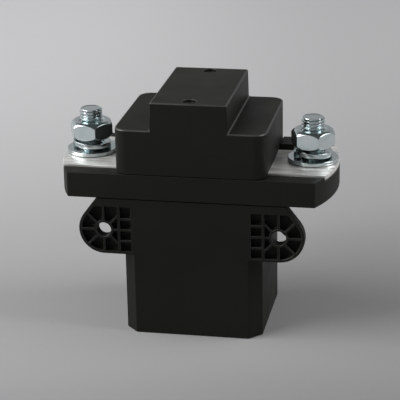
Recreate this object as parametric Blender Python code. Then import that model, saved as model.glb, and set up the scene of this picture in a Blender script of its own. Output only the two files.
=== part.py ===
"""High voltage DC contactor, built the way the real one comes apart on a bench.

Frame: metres, +Z up. The origin is the centre of the coil housing's underside, +X runs along the
terminal deck and -Y is the flat side that carries the mounting ears. The coil housing is a cup that
holds the iron circuit. The deck closes it and carries the two terminal plates, and the cover stands
on the deck over the contacts. The coil pulls the plunger down, and the bridge on the plunger's shaft
closes on the two fixed contacts. Every piece keeps GAP to what it rests on.
"""
import math

import bmesh
import bpy
from mathutils import Vector

# Clearances
GAP = 0.0003
CUT_MARGIN = 0.0010
LEFT = -1
RIGHT = 1
FRONT = -1
BACK = 1
SIDES = ((LEFT, "left"), (RIGHT, "right"))
ENDS = ((FRONT, "front"), (BACK, "back"))

# Facets of round forms
FINE_STEPS = 36
ROUND_STEPS = 28
SMALL_STEPS = 16
ARC_STEPS = 12

# Coil housing
HOUSING_HALF_X = 0.03005
HOUSING_SETBACK = 0.0004
HOUSING_CHAMFER_X = 0.00525
HOUSING_CHAMFER_Y = 0.0055
HOUSING_HEIGHT = 0.0615
HOUSING_WALL = 0.0023
HOUSING_FLOOR = 0.0026
HOUSING_EDGE = 0.0004

# Mounting ears
EAR_REACH = 0.00779
EAR_HOLE_DROP = 0.0142
EAR_HOLE_RADIUS = 0.0032
EAR_RADIUS = 0.0110
EAR_THICKNESS = 0.0045
EAR_SEAT_RADIUS = 0.0054
EAR_SEAT_RISE = 0.0005
EAR_SLANT_ANGLE = math.radians(52.5)
EAR_RIM = 0.0013
EAR_HUB_RADIUS = 0.0042
EAR_SPOKE_COUNT = 8
EAR_SPOKE_WIDTH = 0.0009
EAR_POCKET_DEPTH = 0.0034
EAR_TOP_BAR = 0.0036
EAR_POCKET_MARGIN = 0.0011
EAR_POST_DISTANCE = 0.00664
EAR_POST_WIDTH = 0.0011
EAR_SHELF_COUNT = 3
EAR_SHELF_PITCH = 0.0050

# Terminal deck
DECK_THICKNESS = 0.0110
DECK_HALF_Y = 0.0280
DECK_CORNER_X = 0.0530
DECK_END_BULGE = 0.0070
DECK_EDGE = 0.0003
KEY_OUTER_X = 0.0390
KEY_FRONT_Y = 0.0120
KEY_RISE = 0.0034
YOKE_POST_HEIGHT = 0.0035
YOKE_POST_RADIUS = 0.0036
SHAFT_GUIDE_CLEARANCE = 0.0004
GUIDE_BOSS_STEP = 0.0016
UNDERSIDE_POCKET_DEPTH = 0.0045
UNDERSIDE_RIB = 0.0018

# Terminals
TERMINAL_X = 0.04874
PLATE_THICKNESS = 0.0020
PLATE_PROUD = 0.0008
PLATE_HALF_Y = 0.0200
PLATE_MARGIN = 0.0020
STUD_RADIUS = 0.0050
STUD_STANDOUT = 0.0052
STUD_CHAMFER = 0.0006
STUD_HEAD_WIDTH = 0.0160
STUD_HEAD_HEIGHT = 0.0050
STUD_HEAD_COVER = 0.0028
FLAT_WASHER_RADIUS = 0.0108
FLAT_WASHER_THICKNESS = 0.0015
SPRING_WASHER_RADIUS = 0.0083
SPRING_WASHER_THICKNESS = 0.0020
SPRING_WASHER_SET = 0.0018
SPRING_WASHER_SWEEP = math.radians(346)
SPRING_WASHER_SLANT = math.radians(22)
SPRING_WASHER_FALL = 3
NUT_WIDTH = 0.0170
NUT_HEIGHT = 0.0080
NUT_FACE_SHARE = 0.87
NUT_CHAMFER_ANGLE = math.radians(30)
NUT_TURN = {LEFT: math.radians(-67.0), RIGHT: math.radians(-69.3)}
WASHER_SPLIT = {LEFT: math.radians(-137), RIGHT: math.radians(-128)}

# Cover
COVER_WALL = 0.0024
BLOCK_HALF_X = 0.0325
BLOCK_HEIGHT = 0.0195
BLOCK_CORNER = 0.0055
RIDGE_HALF_X = 0.0163
RIDGE_HEIGHT = 0.0123
RIDGE_DRAFT = 0.0003
COVER_EDGE = 0.0006
COVER_SCREW_INSET = 0.0044
SCREW_TOWER_RADIUS = 0.0042
COUNTERBORE_RADIUS = 0.0029
COUNTERBORE_DEPTH = 0.0029
MAGNET_SIDE_GAP = 0.0021
MAGNET_WIDTH = 0.0160
MAGNET_THICKNESS = 0.0040
MAGNET_HEIGHT = 0.0130
MAGNET_RISE = 0.0028
MAGNET_RIB = 0.0012

# Screws and inserts
COVER_SCREW_RADIUS = 0.0015
COVER_SCREW_HEAD_RADIUS = 0.0026
COVER_SCREW_HEAD_HEIGHT = 0.0020
COVER_SCREW_LENGTH = 0.0500
SCREW_DRIVE_WIDTH = 0.0007
SCREW_DRIVE_LENGTH = 0.0032
SCREW_DRIVE_DEPTH = 0.0010
SCREW_RIM_SHARE = 0.35
SCREW_TIP_SHARE = 0.6
INSERT_WALL = 0.0010
INSERT_LENGTH = 0.0120
INSERT_BELOW_RIM = 0.0004
SCREW_BOSS_RADIUS = 0.0042
SCREW_BOSS_HEIGHT = 0.0180
YOKE_SCREW_SIDE_GAP = 0.0045
YOKE_SCREW_INSET = 0.0030
YOKE_SCREW_RADIUS = 0.0015
YOKE_SCREW_HEAD_RADIUS = 0.0027
YOKE_SCREW_HEAD_HEIGHT = 0.0020
YOKE_SCREW_BITE = 0.0075

# Iron circuit and coil
PAD_THICKNESS = 0.0015
PAD_SIDE_INSET = 0.0040
PAD_END_INSET = 0.0010
PAD_HOLE_RADIUS = 0.0060
YOKE_THICKNESS = 0.0030
YOKE_SIDE_GAP = 0.00375
YOKE_BEND_RADIUS = 0.0045
YOKE_PLATE_LIP = 0.0030
YOKE_PLATE_CLEARANCE = 0.0004
YOKE_PLATE_CORNER = 0.0030
PLUNGER_SHARE_OF_COIL = 0.471
PLUNGER_LENGTH = 0.0267
PLUNGER_SETBACK = 0.0010
PLUNGER_TRAVEL = 0.0030
SLEEVE_WALL = 0.0005
BOBBIN_WALL = 0.0010
BOBBIN_BOSS_GAP = 0.0009
BOBBIN_YOKE_GAP = 0.0025
BOBBIN_FLANGE_THICKNESS = 0.0020
BOBBIN_TONGUE_INNER_X = 0.0046
BOBBIN_TONGUE_OUTER_X = 0.0082
BOBBIN_TONGUE_GAP = 0.0028
WINDING_BELOW_FLANGE = 0.0013
WINDING_EDGE_SHARE = 0.08
CORE_SPIGOT_RADIUS = 0.0040
SPRING_RECESS_RADIUS = 0.0043
CORE_RECESS_DEPTH = 0.0080
PLUNGER_RECESS_DEPTH = 0.0077
RETURN_SPRING_MEAN_RADIUS = 0.0033
RETURN_SPRING_WIRE = 0.0009
RETURN_SPRING_TURNS = 7

# Contacts and shaft
CONTACT_WALL_DISTANCE = 0.0101
FIXED_CONTACT_RADIUS = 0.0050
FIXED_CONTACT_THICKNESS = 0.0015
MOVING_CONTACT_RADIUS = 0.0045
MOVING_CONTACT_THICKNESS = 0.0014
CONTACT_EDGE = 0.0004
OVERTRAVEL = 0.00075
CLOSE_CLEARANCE = 0.0001
BRIDGE_OVERHANG = 0.0060
BRIDGE_WIDTH = 0.0120
BRIDGE_WAIST = 0.0095
BRIDGE_THICKNESS = 0.0030
SHAFT_RADIUS = 0.0020
SHAFT_DEPTH_IN_PLUNGER = 0.0117
SHAFT_COLLAR_RADIUS = 0.0042
SHAFT_COLLAR_THICKNESS = 0.0010
SHAFT_TIP = 0.0015
BUSH_FLANGE_RADIUS = 0.0058
BUSH_FLANGE_THICKNESS = 0.0010
BUSH_SPIGOT_WALL = 0.0009
SPRING_SEAT_RADIUS = 0.0060
SPRING_SEAT_THICKNESS = 0.0010
CONTACT_SPRING_LENGTH = 0.0110
CONTACT_SPRING_MEAN_RADIUS = 0.0044
CONTACT_SPRING_WIRE = 0.0013
CONTACT_SPRING_TURNS = 4.5
CLIP_RADIUS = 0.0040
CLIP_THICKNESS = 0.0008
CLIP_GROOVE_DEPTH = 0.0006

# Coil socket on the hidden side
SOCKET_HALF_X = 0.0105
SOCKET_HALF_Z = 0.0052
SOCKET_WALL = 0.0015
SOCKET_REACH = 0.0100
SOCKET_CORNER = 0.0012
PIN_X = 0.0060
PIN_WIDTH = 0.0028
PIN_THICKNESS = 0.0008
PIN_SETBACK = 0.0046
PIN_TAIL = 0.0060
LATCH_WIDTH = 0.0050
LATCH_RISE = 0.0014
LATCH_LENGTH = 0.0030
LATCH_LOW_END = 0.00025

# Gasket
GASKET_WIDTH = 0.0012
GASKET_HEIGHT = 0.0008

# Places, worked out from the sizes above
HOUSING_HALF_Y = DECK_HALF_Y - HOUSING_SETBACK
EAR_HOLE_X = HOUSING_HALF_X + EAR_REACH
EAR_HOLE_Z = HOUSING_HEIGHT - EAR_HOLE_DROP
EAR_POST_X = EAR_HOLE_X - EAR_POST_DISTANCE
EAR_POCKET_INNER_X = HOUSING_HALF_X - HOUSING_CHAMFER_X + EAR_POCKET_MARGIN
EAR_POCKET_TOP = HOUSING_HEIGHT - EAR_TOP_BAR
COVER_SCREW_Y = DECK_HALF_Y - COVER_SCREW_INSET
BOSS_INNER_Y = COVER_SCREW_Y - SCREW_BOSS_RADIUS
MAGNET_X = BLOCK_HALF_X - COVER_WALL - MAGNET_SIDE_GAP - MAGNET_WIDTH / 2
FIXED_CONTACT_X = BLOCK_HALF_X - COVER_WALL - CONTACT_WALL_DISTANCE
PLATE_INNER_X = FIXED_CONTACT_X - FIXED_CONTACT_RADIUS - PLATE_MARGIN
BRIDGE_LENGTH = 2 * (FIXED_CONTACT_X + BRIDGE_OVERHANG)
YOKE_HALF_X = HOUSING_HALF_X - HOUSING_WALL - YOKE_SIDE_GAP
YOKE_PLATE_HALF_Y = BOSS_INNER_Y - YOKE_PLATE_CLEARANCE
YOKE_HALF_Y = YOKE_PLATE_HALF_Y - YOKE_PLATE_LIP
YOKE_SCREW_X = YOKE_HALF_X - YOKE_THICKNESS - YOKE_SCREW_SIDE_GAP
YOKE_SCREW_Y = YOKE_PLATE_HALF_Y - YOKE_SCREW_INSET
PAD_HALF_X = YOKE_HALF_X - PAD_SIDE_INSET
PAD_HALF_Y = YOKE_HALF_Y - PAD_END_INSET
BOBBIN_FLANGE_RADIUS = min(BOSS_INNER_Y - BOBBIN_BOSS_GAP, YOKE_HALF_X - YOKE_THICKNESS - BOBBIN_YOKE_GAP)
BOBBIN_TONGUE_REACH = HOUSING_HALF_Y - HOUSING_WALL - BOBBIN_TONGUE_GAP
WINDING_RADIUS = BOBBIN_FLANGE_RADIUS - WINDING_BELOW_FLANGE
PLUNGER_RADIUS = WINDING_RADIUS * PLUNGER_SHARE_OF_COIL
GUIDE_BOSS_RADIUS = PLUNGER_RADIUS - GUIDE_BOSS_STEP

# Levels, worked out from the sizes above
DECK_BOTTOM = HOUSING_HEIGHT + GAP
DECK_TOP = DECK_BOTTOM + DECK_THICKNESS
COVER_BOTTOM = DECK_TOP + GAP
BLOCK_TOP = COVER_BOTTOM + BLOCK_HEIGHT
RIDGE_TOP = BLOCK_TOP + RIDGE_HEIGHT
PLATE_TOP = DECK_TOP + PLATE_PROUD
PLATE_BOTTOM = PLATE_TOP - PLATE_THICKNESS
RECESS_FLOOR = PLATE_BOTTOM - GAP
FLAT_WASHER_BOTTOM = PLATE_TOP + GAP
SPRING_WASHER_BOTTOM = FLAT_WASHER_BOTTOM + FLAT_WASHER_THICKNESS + GAP
NUT_BOTTOM = SPRING_WASHER_BOTTOM + SPRING_WASHER_THICKNESS + SPRING_WASHER_SET + GAP
STUD_TOP = NUT_BOTTOM + NUT_HEIGHT + STUD_STANDOUT
STUD_HEAD_TOP = RECESS_FLOOR - STUD_HEAD_COVER - GAP
PAD_BOTTOM = HOUSING_FLOOR + GAP
YOKE_BOTTOM = PAD_BOTTOM + PAD_THICKNESS + GAP
YOKE_BASE_TOP = YOKE_BOTTOM + YOKE_THICKNESS
YOKE_PLATE_TOP = DECK_BOTTOM - YOKE_POST_HEIGHT - GAP
YOKE_PLATE_BOTTOM = YOKE_PLATE_TOP - YOKE_THICKNESS
YOKE_LEG_TOP = YOKE_PLATE_BOTTOM - GAP
COIL_BOTTOM = YOKE_BASE_TOP + GAP
COIL_TOP = YOKE_PLATE_BOTTOM - GAP
PLUNGER_TOP = YOKE_PLATE_TOP - PLUNGER_SETBACK
PLUNGER_BOTTOM = PLUNGER_TOP - PLUNGER_LENGTH
CORE_TOP = PLUNGER_BOTTOM - PLUNGER_TRAVEL - GAP
FIXED_CONTACT_TOP = PLATE_TOP + GAP + FIXED_CONTACT_THICKNESS
CONTACT_GAP = PLUNGER_TRAVEL - OVERTRAVEL + CLOSE_CLEARANCE
MOVING_CONTACT_BOTTOM = FIXED_CONTACT_TOP + CONTACT_GAP
BRIDGE_BOTTOM = MOVING_CONTACT_BOTTOM + MOVING_CONTACT_THICKNESS + GAP
BRIDGE_TOP = BRIDGE_BOTTOM + BRIDGE_THICKNESS
BUSH_BOTTOM = BRIDGE_BOTTOM - GAP - BUSH_FLANGE_THICKNESS
SHAFT_COLLAR_TOP = BUSH_BOTTOM - GAP
SPRING_SEAT_BOTTOM = BRIDGE_TOP + GAP
CONTACT_SPRING_BOTTOM = SPRING_SEAT_BOTTOM + SPRING_SEAT_THICKNESS + GAP
RETAINER_BOTTOM = CONTACT_SPRING_BOTTOM + CONTACT_SPRING_LENGTH + GAP
CLIP_BOTTOM = RETAINER_BOTTOM + SPRING_SEAT_THICKNESS + GAP
SHAFT_TOP = CLIP_BOTTOM + CLIP_THICKNESS + GAP + SHAFT_TIP
PIN_TOP = COIL_TOP - BOBBIN_FLANGE_THICKNESS - GAP
SOCKET_Z = PIN_TOP - PIN_THICKNESS / 2
SLEEVE_RADIUS = PLUNGER_RADIUS + GAP + SLEEVE_WALL
BOBBIN_BORE_RADIUS = SLEEVE_RADIUS + GAP
BUSH_BORE_RADIUS = SHAFT_RADIUS + GAP
BUSH_SPIGOT_RADIUS = BUSH_BORE_RADIUS + BUSH_SPIGOT_WALL
SCREW_HEAD_SEAT = RIDGE_TOP - COUNTERBORE_DEPTH

# Finishes: colour, metallic value, roughness
FINISHES = {
    "black_moulding": ((0.018, 0.018, 0.017), 0.0, 0.48),
    "zinc": ((0.62, 0.66, 0.68), 1.0, 0.28),
    "tin": ((0.72, 0.71, 0.68), 1.0, 0.32),
    "black_screw": ((0.03, 0.03, 0.03), 0.8, 0.40),
    "iron": ((0.45, 0.46, 0.47), 1.0, 0.40),
    "copper": ((0.80, 0.45, 0.30), 1.0, 0.30),
    "silver_alloy": ((0.80, 0.79, 0.76), 1.0, 0.25),
    "brass": ((0.78, 0.62, 0.32), 1.0, 0.30),
    "spring_steel": ((0.50, 0.51, 0.52), 1.0, 0.30),
    "bobbin_nylon": ((0.80, 0.78, 0.70), 0.0, 0.50),
    "enamel_wire": ((0.55, 0.24, 0.10), 0.2, 0.35),
    "ferrite": ((0.10, 0.10, 0.11), 0.2, 0.60),
    "rubber": ((0.02, 0.02, 0.02), 0.0, 0.80),
}


def clear_scene():
    """Removes whatever the file holds before the model is made."""
    for item in list(bpy.data.objects):
        bpy.data.objects.remove(item, do_unlink=True)


def finish(name):
    """Makes a Principled material from the finishes above, once for each name."""
    material = bpy.data.materials.get(name)
    if material is None:
        colour, metallic, roughness = FINISHES[name]
        material = bpy.data.materials.new(name)
        material.use_nodes = True
        shader = material.node_tree.nodes["Principled BSDF"]
        shader.inputs["Base Color"].default_value = (*colour, 1.0)
        shader.inputs["Metallic"].default_value = metallic
        shader.inputs["Roughness"].default_value = roughness
    return material


def carrier(name, height, parent=None):
    """Adds an empty on the contactor's axis that carries the pieces of one moving body."""
    empty = bpy.data.objects.new(name, None)
    bpy.context.scene.collection.objects.link(empty)
    empty.parent = parent
    empty.location = (0, 0, height - (parent.location.z if parent else 0))
    return empty


def place(mesh_data, name, material=None, parent=None):
    """Links a mesh or curve as an object whose world place is the one its points hold."""
    item = bpy.data.objects.new(name, mesh_data)
    bpy.context.scene.collection.objects.link(item)
    if material:
        mesh_data.materials.append(finish(material))
    else:
        item.hide_render = True
        item.display_type = "WIRE"
    if parent:
        item.parent = parent
        bpy.context.view_layer.update()
        item.matrix_parent_inverse = parent.matrix_world.inverted()
    return item


def mesh_from(bm, name, smooth=False):
    """Turns a bmesh into a mesh with outward faces."""
    bmesh.ops.recalc_face_normals(bm, faces=bm.faces)
    data = bpy.data.meshes.new(name)
    bm.to_mesh(data)
    bm.free()
    if smooth:
        data.shade_smooth()
        data.set_sharp_from_angle(angle=math.radians(35))
    return data


def extrude(outline, along, name, material=None, parent=None):
    """Extrudes a closed outline of 3-D points by a vector."""
    bm = bmesh.new()
    face = bm.faces.new([bm.verts.new(point) for point in outline])
    grown = bmesh.ops.extrude_face_region(bm, geom=[face])
    new_verts = [item for item in grown["geom"] if isinstance(item, bmesh.types.BMVert)]
    bmesh.ops.translate(bm, vec=Vector(along), verts=new_verts)
    return place(mesh_from(bm, name), name, material, parent)


def prism(outline, low, high, name, material=None, parent=None):
    """Extrudes an outline of (x, y) points from one level to another."""
    points = [(x, y, low) for x, y in outline]
    return extrude(points, (0, 0, high - low), name, material, parent)


def box(low, high, name, material=None, parent=None):
    """Makes a block between two corners."""
    outline = [(low[0], low[1]), (high[0], low[1]), (high[0], high[1]), (low[0], high[1])]
    return prism(outline, low[2], high[2], name, material, parent)


def turned(profile, name, material=None, parent=None, at=(0, 0), steps=ROUND_STEPS, closed=False, start=0.0):
    """Turns a profile of (radius, z) points about a vertical axis, from a start angle.

    A closed profile makes a ring, and one that starts and ends on the axis makes a full body.
    """
    bm = bmesh.new()
    verts = [bm.verts.new((radius * math.cos(start), radius * math.sin(start), z)) for radius, z in profile]
    pairs = list(zip(verts, verts[1:]))
    if closed:
        pairs.append((verts[-1], verts[0]))
    edges = [bm.edges.new(pair) for pair in pairs]
    bmesh.ops.spin(bm, geom=verts + edges, cent=(0, 0, 0), axis=(0, 0, 1), angle=math.tau, steps=steps,
                   use_merge=True)
    bmesh.ops.remove_doubles(bm, verts=bm.verts, dist=1e-7)
    bmesh.ops.translate(bm, vec=(at[0], at[1], 0), verts=bm.verts)
    return place(mesh_from(bm, name, smooth=True), name, material, parent)


def rod(radius, low, high, name, material=None, parent=None, at=(0, 0), steps=ROUND_STEPS):
    """Makes a plain vertical cylinder."""
    profile = [(0, low), (radius, low), (radius, high), (0, high)]
    return turned(profile, name, material, parent, at, steps)


def tube(inner, outer, low, high, name, material=None, parent=None, at=(0, 0), steps=ROUND_STEPS):
    """Makes a plain vertical ring."""
    profile = [(inner, low), (outer, low), (outer, high), (inner, high)]
    return turned(profile, name, material, parent, at, steps, closed=True)


def combine(target, operation, guides):
    """Adds one boolean modifier that joins, cuts or meets a target with its guide objects."""
    group = bpy.data.collections.new(f"{target.name}_{operation.lower()}")
    for guide in guides:
        group.objects.link(guide)
    modifier = target.modifiers.new(group.name, "BOOLEAN")
    modifier.operation = operation
    modifier.operand_type = "COLLECTION"
    modifier.collection = group
    return target


def cut(target, *guides):
    """Cuts the guide objects' forms out of a target."""
    return combine(target, "DIFFERENCE", guides)


def join(target, *guides):
    """Joins the guide objects' forms to a target."""
    return combine(target, "UNION", guides)


def soften(target, width, segments=2, angle=35):
    """Rounds the edges of a target that turn by more than an angle."""
    modifier = target.modifiers.new("edges", "BEVEL")
    modifier.width = width
    modifier.segments = segments
    modifier.limit_method = "ANGLE"
    modifier.angle_limit = math.radians(angle)
    return target


def arc(centre, radius, start, end, steps):
    """Gives points on an arc, both ends included."""
    turn = (end - start) / steps
    return [(centre[0] + radius * math.cos(start + turn * k), centre[1] + radius * math.sin(start + turn * k))
            for k in range(steps + 1)]


def chamfered_outline(half_x, half_y, chamfer_x, chamfer_y):
    """Gives a rectangle with its four corners cut off."""
    return [(half_x - chamfer_x, -half_y), (half_x, -half_y + chamfer_y), (half_x, half_y - chamfer_y),
            (half_x - chamfer_x, half_y), (-half_x + chamfer_x, half_y), (-half_x, half_y - chamfer_y),
            (-half_x, -half_y + chamfer_y), (-half_x + chamfer_x, -half_y)]


def rounded_outline(half_x, half_y, radius, steps=5):
    """Gives a rectangle with four round corners."""
    points = []
    corners = ((half_x, half_y, 0), (-half_x, half_y, 1), (-half_x, -half_y, 2), (half_x, -half_y, 3))
    for x, y, quarter in corners:
        centre = (x - math.copysign(radius, x), y - math.copysign(radius, y))
        points += arc(centre, radius, quarter * math.pi / 2, (quarter + 1) * math.pi / 2, steps)
    return points


def housing_outline(inset):
    """Gives the coil housing's outline, moved inwards by an inset all round."""
    corner_trim = inset * (math.sqrt(2) - 1)
    return chamfered_outline(HOUSING_HALF_X - inset, HOUSING_HALF_Y - inset,
                             HOUSING_CHAMFER_X - inset + corner_trim, HOUSING_CHAMFER_Y - inset + corner_trim)


def end_arc_x(y, inset=0.0):
    """Gives the deck's half length at a depth y, on the arc of its end."""
    radius = (DECK_HALF_Y ** 2 + DECK_END_BULGE ** 2) / (2 * DECK_END_BULGE)
    centre_x = DECK_CORNER_X + DECK_END_BULGE - radius
    return centre_x + math.sqrt((radius - inset) ** 2 - y ** 2)


def end_arc(side, low_y, high_y, steps, inset=0.0):
    """Gives points along the deck's end arc between two depths."""
    depths = [low_y + (high_y - low_y) * k / steps for k in range(steps + 1)]
    return [(side * end_arc_x(y, inset), y) for y in depths]


def hexagon(width, at, turn):
    """Gives a hexagon by its width across flats, with one corner at the turn angle."""
    radius = width / math.sqrt(3)
    return [(at[0] + radius * math.cos(turn + k * math.pi / 3), at[1] + radius * math.sin(turn + k * math.pi / 3))
            for k in range(6)]


def ear_outline(inset, inner_x, top, depth_y):
    """Gives the outline of the right ear as points on a plane of constant y.

    A flat underside runs into the round end, and a slanted edge leaves the arc at its tangent.
    """
    radius = EAR_RADIUS - inset
    tangent = math.pi / 2 - EAR_SLANT_ANGLE
    points = arc((EAR_HOLE_X, EAR_HOLE_Z), radius, -math.pi / 2, tangent, ARC_STEPS)
    last_x, last_z = points[-1]
    top_x = last_x - (top - last_z) / math.tan(EAR_SLANT_ANGLE)
    outline = [(inner_x, EAR_HOLE_Z - radius)] + points + [(top_x, top), (inner_x, top)]
    return [(x, depth_y, z) for x, z in outline]


def mirrored(outline):
    """Mirrors an outline of 3-D points across the middle plane."""
    return [(-x, y, z) for x, y, z in outline]


def ear_circle(side, radius, depth_y):
    """Gives a circle round one ear's hole as points on a plane of constant y."""
    centre = (side * EAR_HOLE_X, EAR_HOLE_Z)
    return [(x, depth_y, z) for x, z in arc(centre, radius, 0, math.tau, ROUND_STEPS)[:-1]]


def ear_pockets(side, name):
    """Makes the cutter for one ear's blind pockets: the inset outline less its hub, spokes and ribs."""
    front = -HOUSING_HALF_Y
    outline = ear_outline(EAR_RIM, EAR_POCKET_INNER_X, EAR_POCKET_TOP, front - CUT_MARGIN)
    if side == LEFT:
        outline = mirrored(outline)
    pockets = extrude(outline, (0, CUT_MARGIN + EAR_POCKET_DEPTH, 0), f"{name}_pockets")
    low_y, high_y = front - 2 * CUT_MARGIN, front + 2 * EAR_POCKET_DEPTH
    through = (0, high_y - low_y, 0)
    centre = Vector((side * EAR_HOLE_X, low_y, EAR_HOLE_Z))
    hub = [centre + Vector((x, 0, z)) for x, z in arc((0, 0), EAR_HUB_RADIUS, 0, math.tau, SMALL_STEPS)[:-1]]
    post_x = side * EAR_POST_X
    post = box((post_x - EAR_POST_WIDTH / 2, low_y, 0), (post_x + EAR_POST_WIDTH / 2, high_y, DECK_TOP),
               f"{name}_post")
    half = EAR_SPOKE_WIDTH / 2
    spokes = []
    for index in range(EAR_SPOKE_COUNT):
        angle = index * math.tau / EAR_SPOKE_COUNT
        along = Vector((math.cos(angle), 0, math.sin(angle)))
        towards_post = -side * along.x
        length = EAR_POST_DISTANCE / towards_post if towards_post > half / EAR_RADIUS else 2 * EAR_RADIUS
        normal = Vector((-along.z, 0, along.x)) * half
        root, tip = centre + along * EAR_HUB_RADIUS / 2, centre + along * length
        spokes.append(extrude([root - normal, tip - normal, tip + normal, root + normal], through,
                              f"{name}_spoke_{index}"))
    ends = sorted((side * (EAR_POCKET_INNER_X - CUT_MARGIN), post_x))
    shelves = []
    for index in range(EAR_SHELF_COUNT):
        shelf_z = EAR_HOLE_Z + (index - (EAR_SHELF_COUNT - 1) / 2) * EAR_SHELF_PITCH
        shelves.append(box((ends[0], low_y, shelf_z - half), (ends[1], high_y, shelf_z + half),
                           f"{name}_shelf_{index}"))
    return cut(pockets, extrude(hub, through, f"{name}_hub"), post, *spokes, *shelves)


def ear_plate():
    """Makes the plate that carries both ears, flush with the housing's flat side."""
    right = ear_outline(0.0, 0.0, HOUSING_HEIGHT, -HOUSING_HALF_Y)[1:-1]
    left = [(-x, y, z) for x, y, z in reversed(right)]
    return extrude(right + left, (0, EAR_THICKNESS, 0), "ear_plate")


def coil_socket_guides():
    """Makes the socket's shroud with its latch ramp, and the cutter for its inside."""
    wall_y = HOUSING_HALF_Y - HOUSING_WALL / 2
    mouth_y = HOUSING_HALF_Y + SOCKET_REACH
    shroud_outline = [(x, wall_y, SOCKET_Z + z) for x, z in
                      rounded_outline(SOCKET_HALF_X, SOCKET_HALF_Z, SOCKET_CORNER, 3)]
    shroud = extrude(shroud_outline, (0, mouth_y - wall_y, 0), "socket_shroud")
    ramp_y = mouth_y - SOCKET_WALL - LATCH_LENGTH
    ramp_z = SOCKET_Z + SOCKET_HALF_Z
    ramp = [(-LATCH_WIDTH / 2, ramp_y, ramp_z - SOCKET_WALL / 2),
            (-LATCH_WIDTH / 2, ramp_y, ramp_z + LATCH_RISE),
            (-LATCH_WIDTH / 2, ramp_y + LATCH_LENGTH, ramp_z + LATCH_LOW_END),
            (-LATCH_WIDTH / 2, ramp_y + LATCH_LENGTH, ramp_z - SOCKET_WALL / 2)]
    join(shroud, extrude(ramp, (LATCH_WIDTH, 0, 0), "socket_latch"))
    inside_outline = [(x, HOUSING_HALF_Y, SOCKET_Z + z) for x, z in
                      rounded_outline(SOCKET_HALF_X - SOCKET_WALL, SOCKET_HALF_Z - SOCKET_WALL, SOCKET_CORNER / 2, 2)]
    inside = extrude(inside_outline, (0, SOCKET_REACH + CUT_MARGIN, 0), "socket_inside")
    return shroud, inside


def make_lower_housing():
    """Moulds the cup with its ears, their raised screw seats, the screw bosses and the coil socket."""
    housing = prism(housing_outline(0.0), 0.0, HOUSING_HEIGHT, "lower_housing", "black_moulding")
    join(housing, ear_plate())
    soften(housing, HOUSING_EDGE)
    shroud, socket_inside = coil_socket_guides()
    added = [shroud]
    cavity = prism(housing_outline(HOUSING_WALL), HOUSING_FLOOR, HOUSING_HEIGHT + CUT_MARGIN, "housing_cavity")
    boss_low = HOUSING_HEIGHT - SCREW_BOSS_HEIGHT
    seat_radius = COVER_SCREW_RADIUS + GAP + INSERT_WALL + GAP
    seat_low = HOUSING_HEIGHT - INSERT_BELOW_RIM - INSERT_LENGTH - GAP
    bosses, cutters = [], [cavity, socket_inside]
    for side, end in ENDS:
        at = (0, side * COVER_SCREW_Y)
        bosses.append(rod(SCREW_BOSS_RADIUS, boss_low, DECK_TOP, f"boss_{end}", at=at, steps=SMALL_STEPS))
        cutters.append(rod(seat_radius, seat_low, DECK_TOP, f"insert_seat_{end}", at=at, steps=SMALL_STEPS))
    cut(cavity, *bosses)
    seat_y = -HOUSING_HALF_Y + EAR_THICKNESS + EAR_SEAT_RISE
    for side, hand in SIDES:
        seat = ear_circle(side, EAR_SEAT_RADIUS, seat_y)
        added.append(extrude(seat, (0, -EAR_SEAT_RISE - GAP, 0), f"ear_{hand}_seat"))
        hole = ear_circle(side, EAR_HOLE_RADIUS, -HOUSING_HALF_Y - CUT_MARGIN)
        through = EAR_THICKNESS + EAR_SEAT_RISE + 2 * CUT_MARGIN
        cutters.append(extrude(hole, (0, through, 0), f"ear_{hand}_hole"))
        cutters.append(ear_pockets(side, f"ear_{hand}"))
        slot_half = PIN_WIDTH / 2 + GAP
        low = (side * PIN_X - slot_half, HOUSING_HALF_Y - HOUSING_WALL - CUT_MARGIN, PIN_TOP - PIN_THICKNESS - GAP)
        high = (side * PIN_X + slot_half, HOUSING_HALF_Y + CUT_MARGIN, PIN_TOP + GAP)
        cutters.append(box(low, high, f"pin_slot_{hand}"))
    join(housing, *added)
    cut(housing, *cutters)


def plate_outline(side, clearance=0.0):
    """Gives a terminal plate's outline, or its recess when grown by a clearance.

    The outer end follows the deck's end arc, and the back inner corner is notched round the key.
    """
    inner = PLATE_INNER_X - clearance
    half_y = PLATE_HALF_Y + clearance
    key_gap = 0.0 if clearance else GAP
    notch_x, notch_y = KEY_OUTER_X + key_gap, KEY_FRONT_Y - key_gap
    outline = [(side * inner, -half_y)] + end_arc(side, -half_y, half_y, ARC_STEPS, -clearance)
    outline += [(side * notch_x, half_y), (side * notch_x, notch_y), (side * inner, notch_y)]
    return outline


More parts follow.
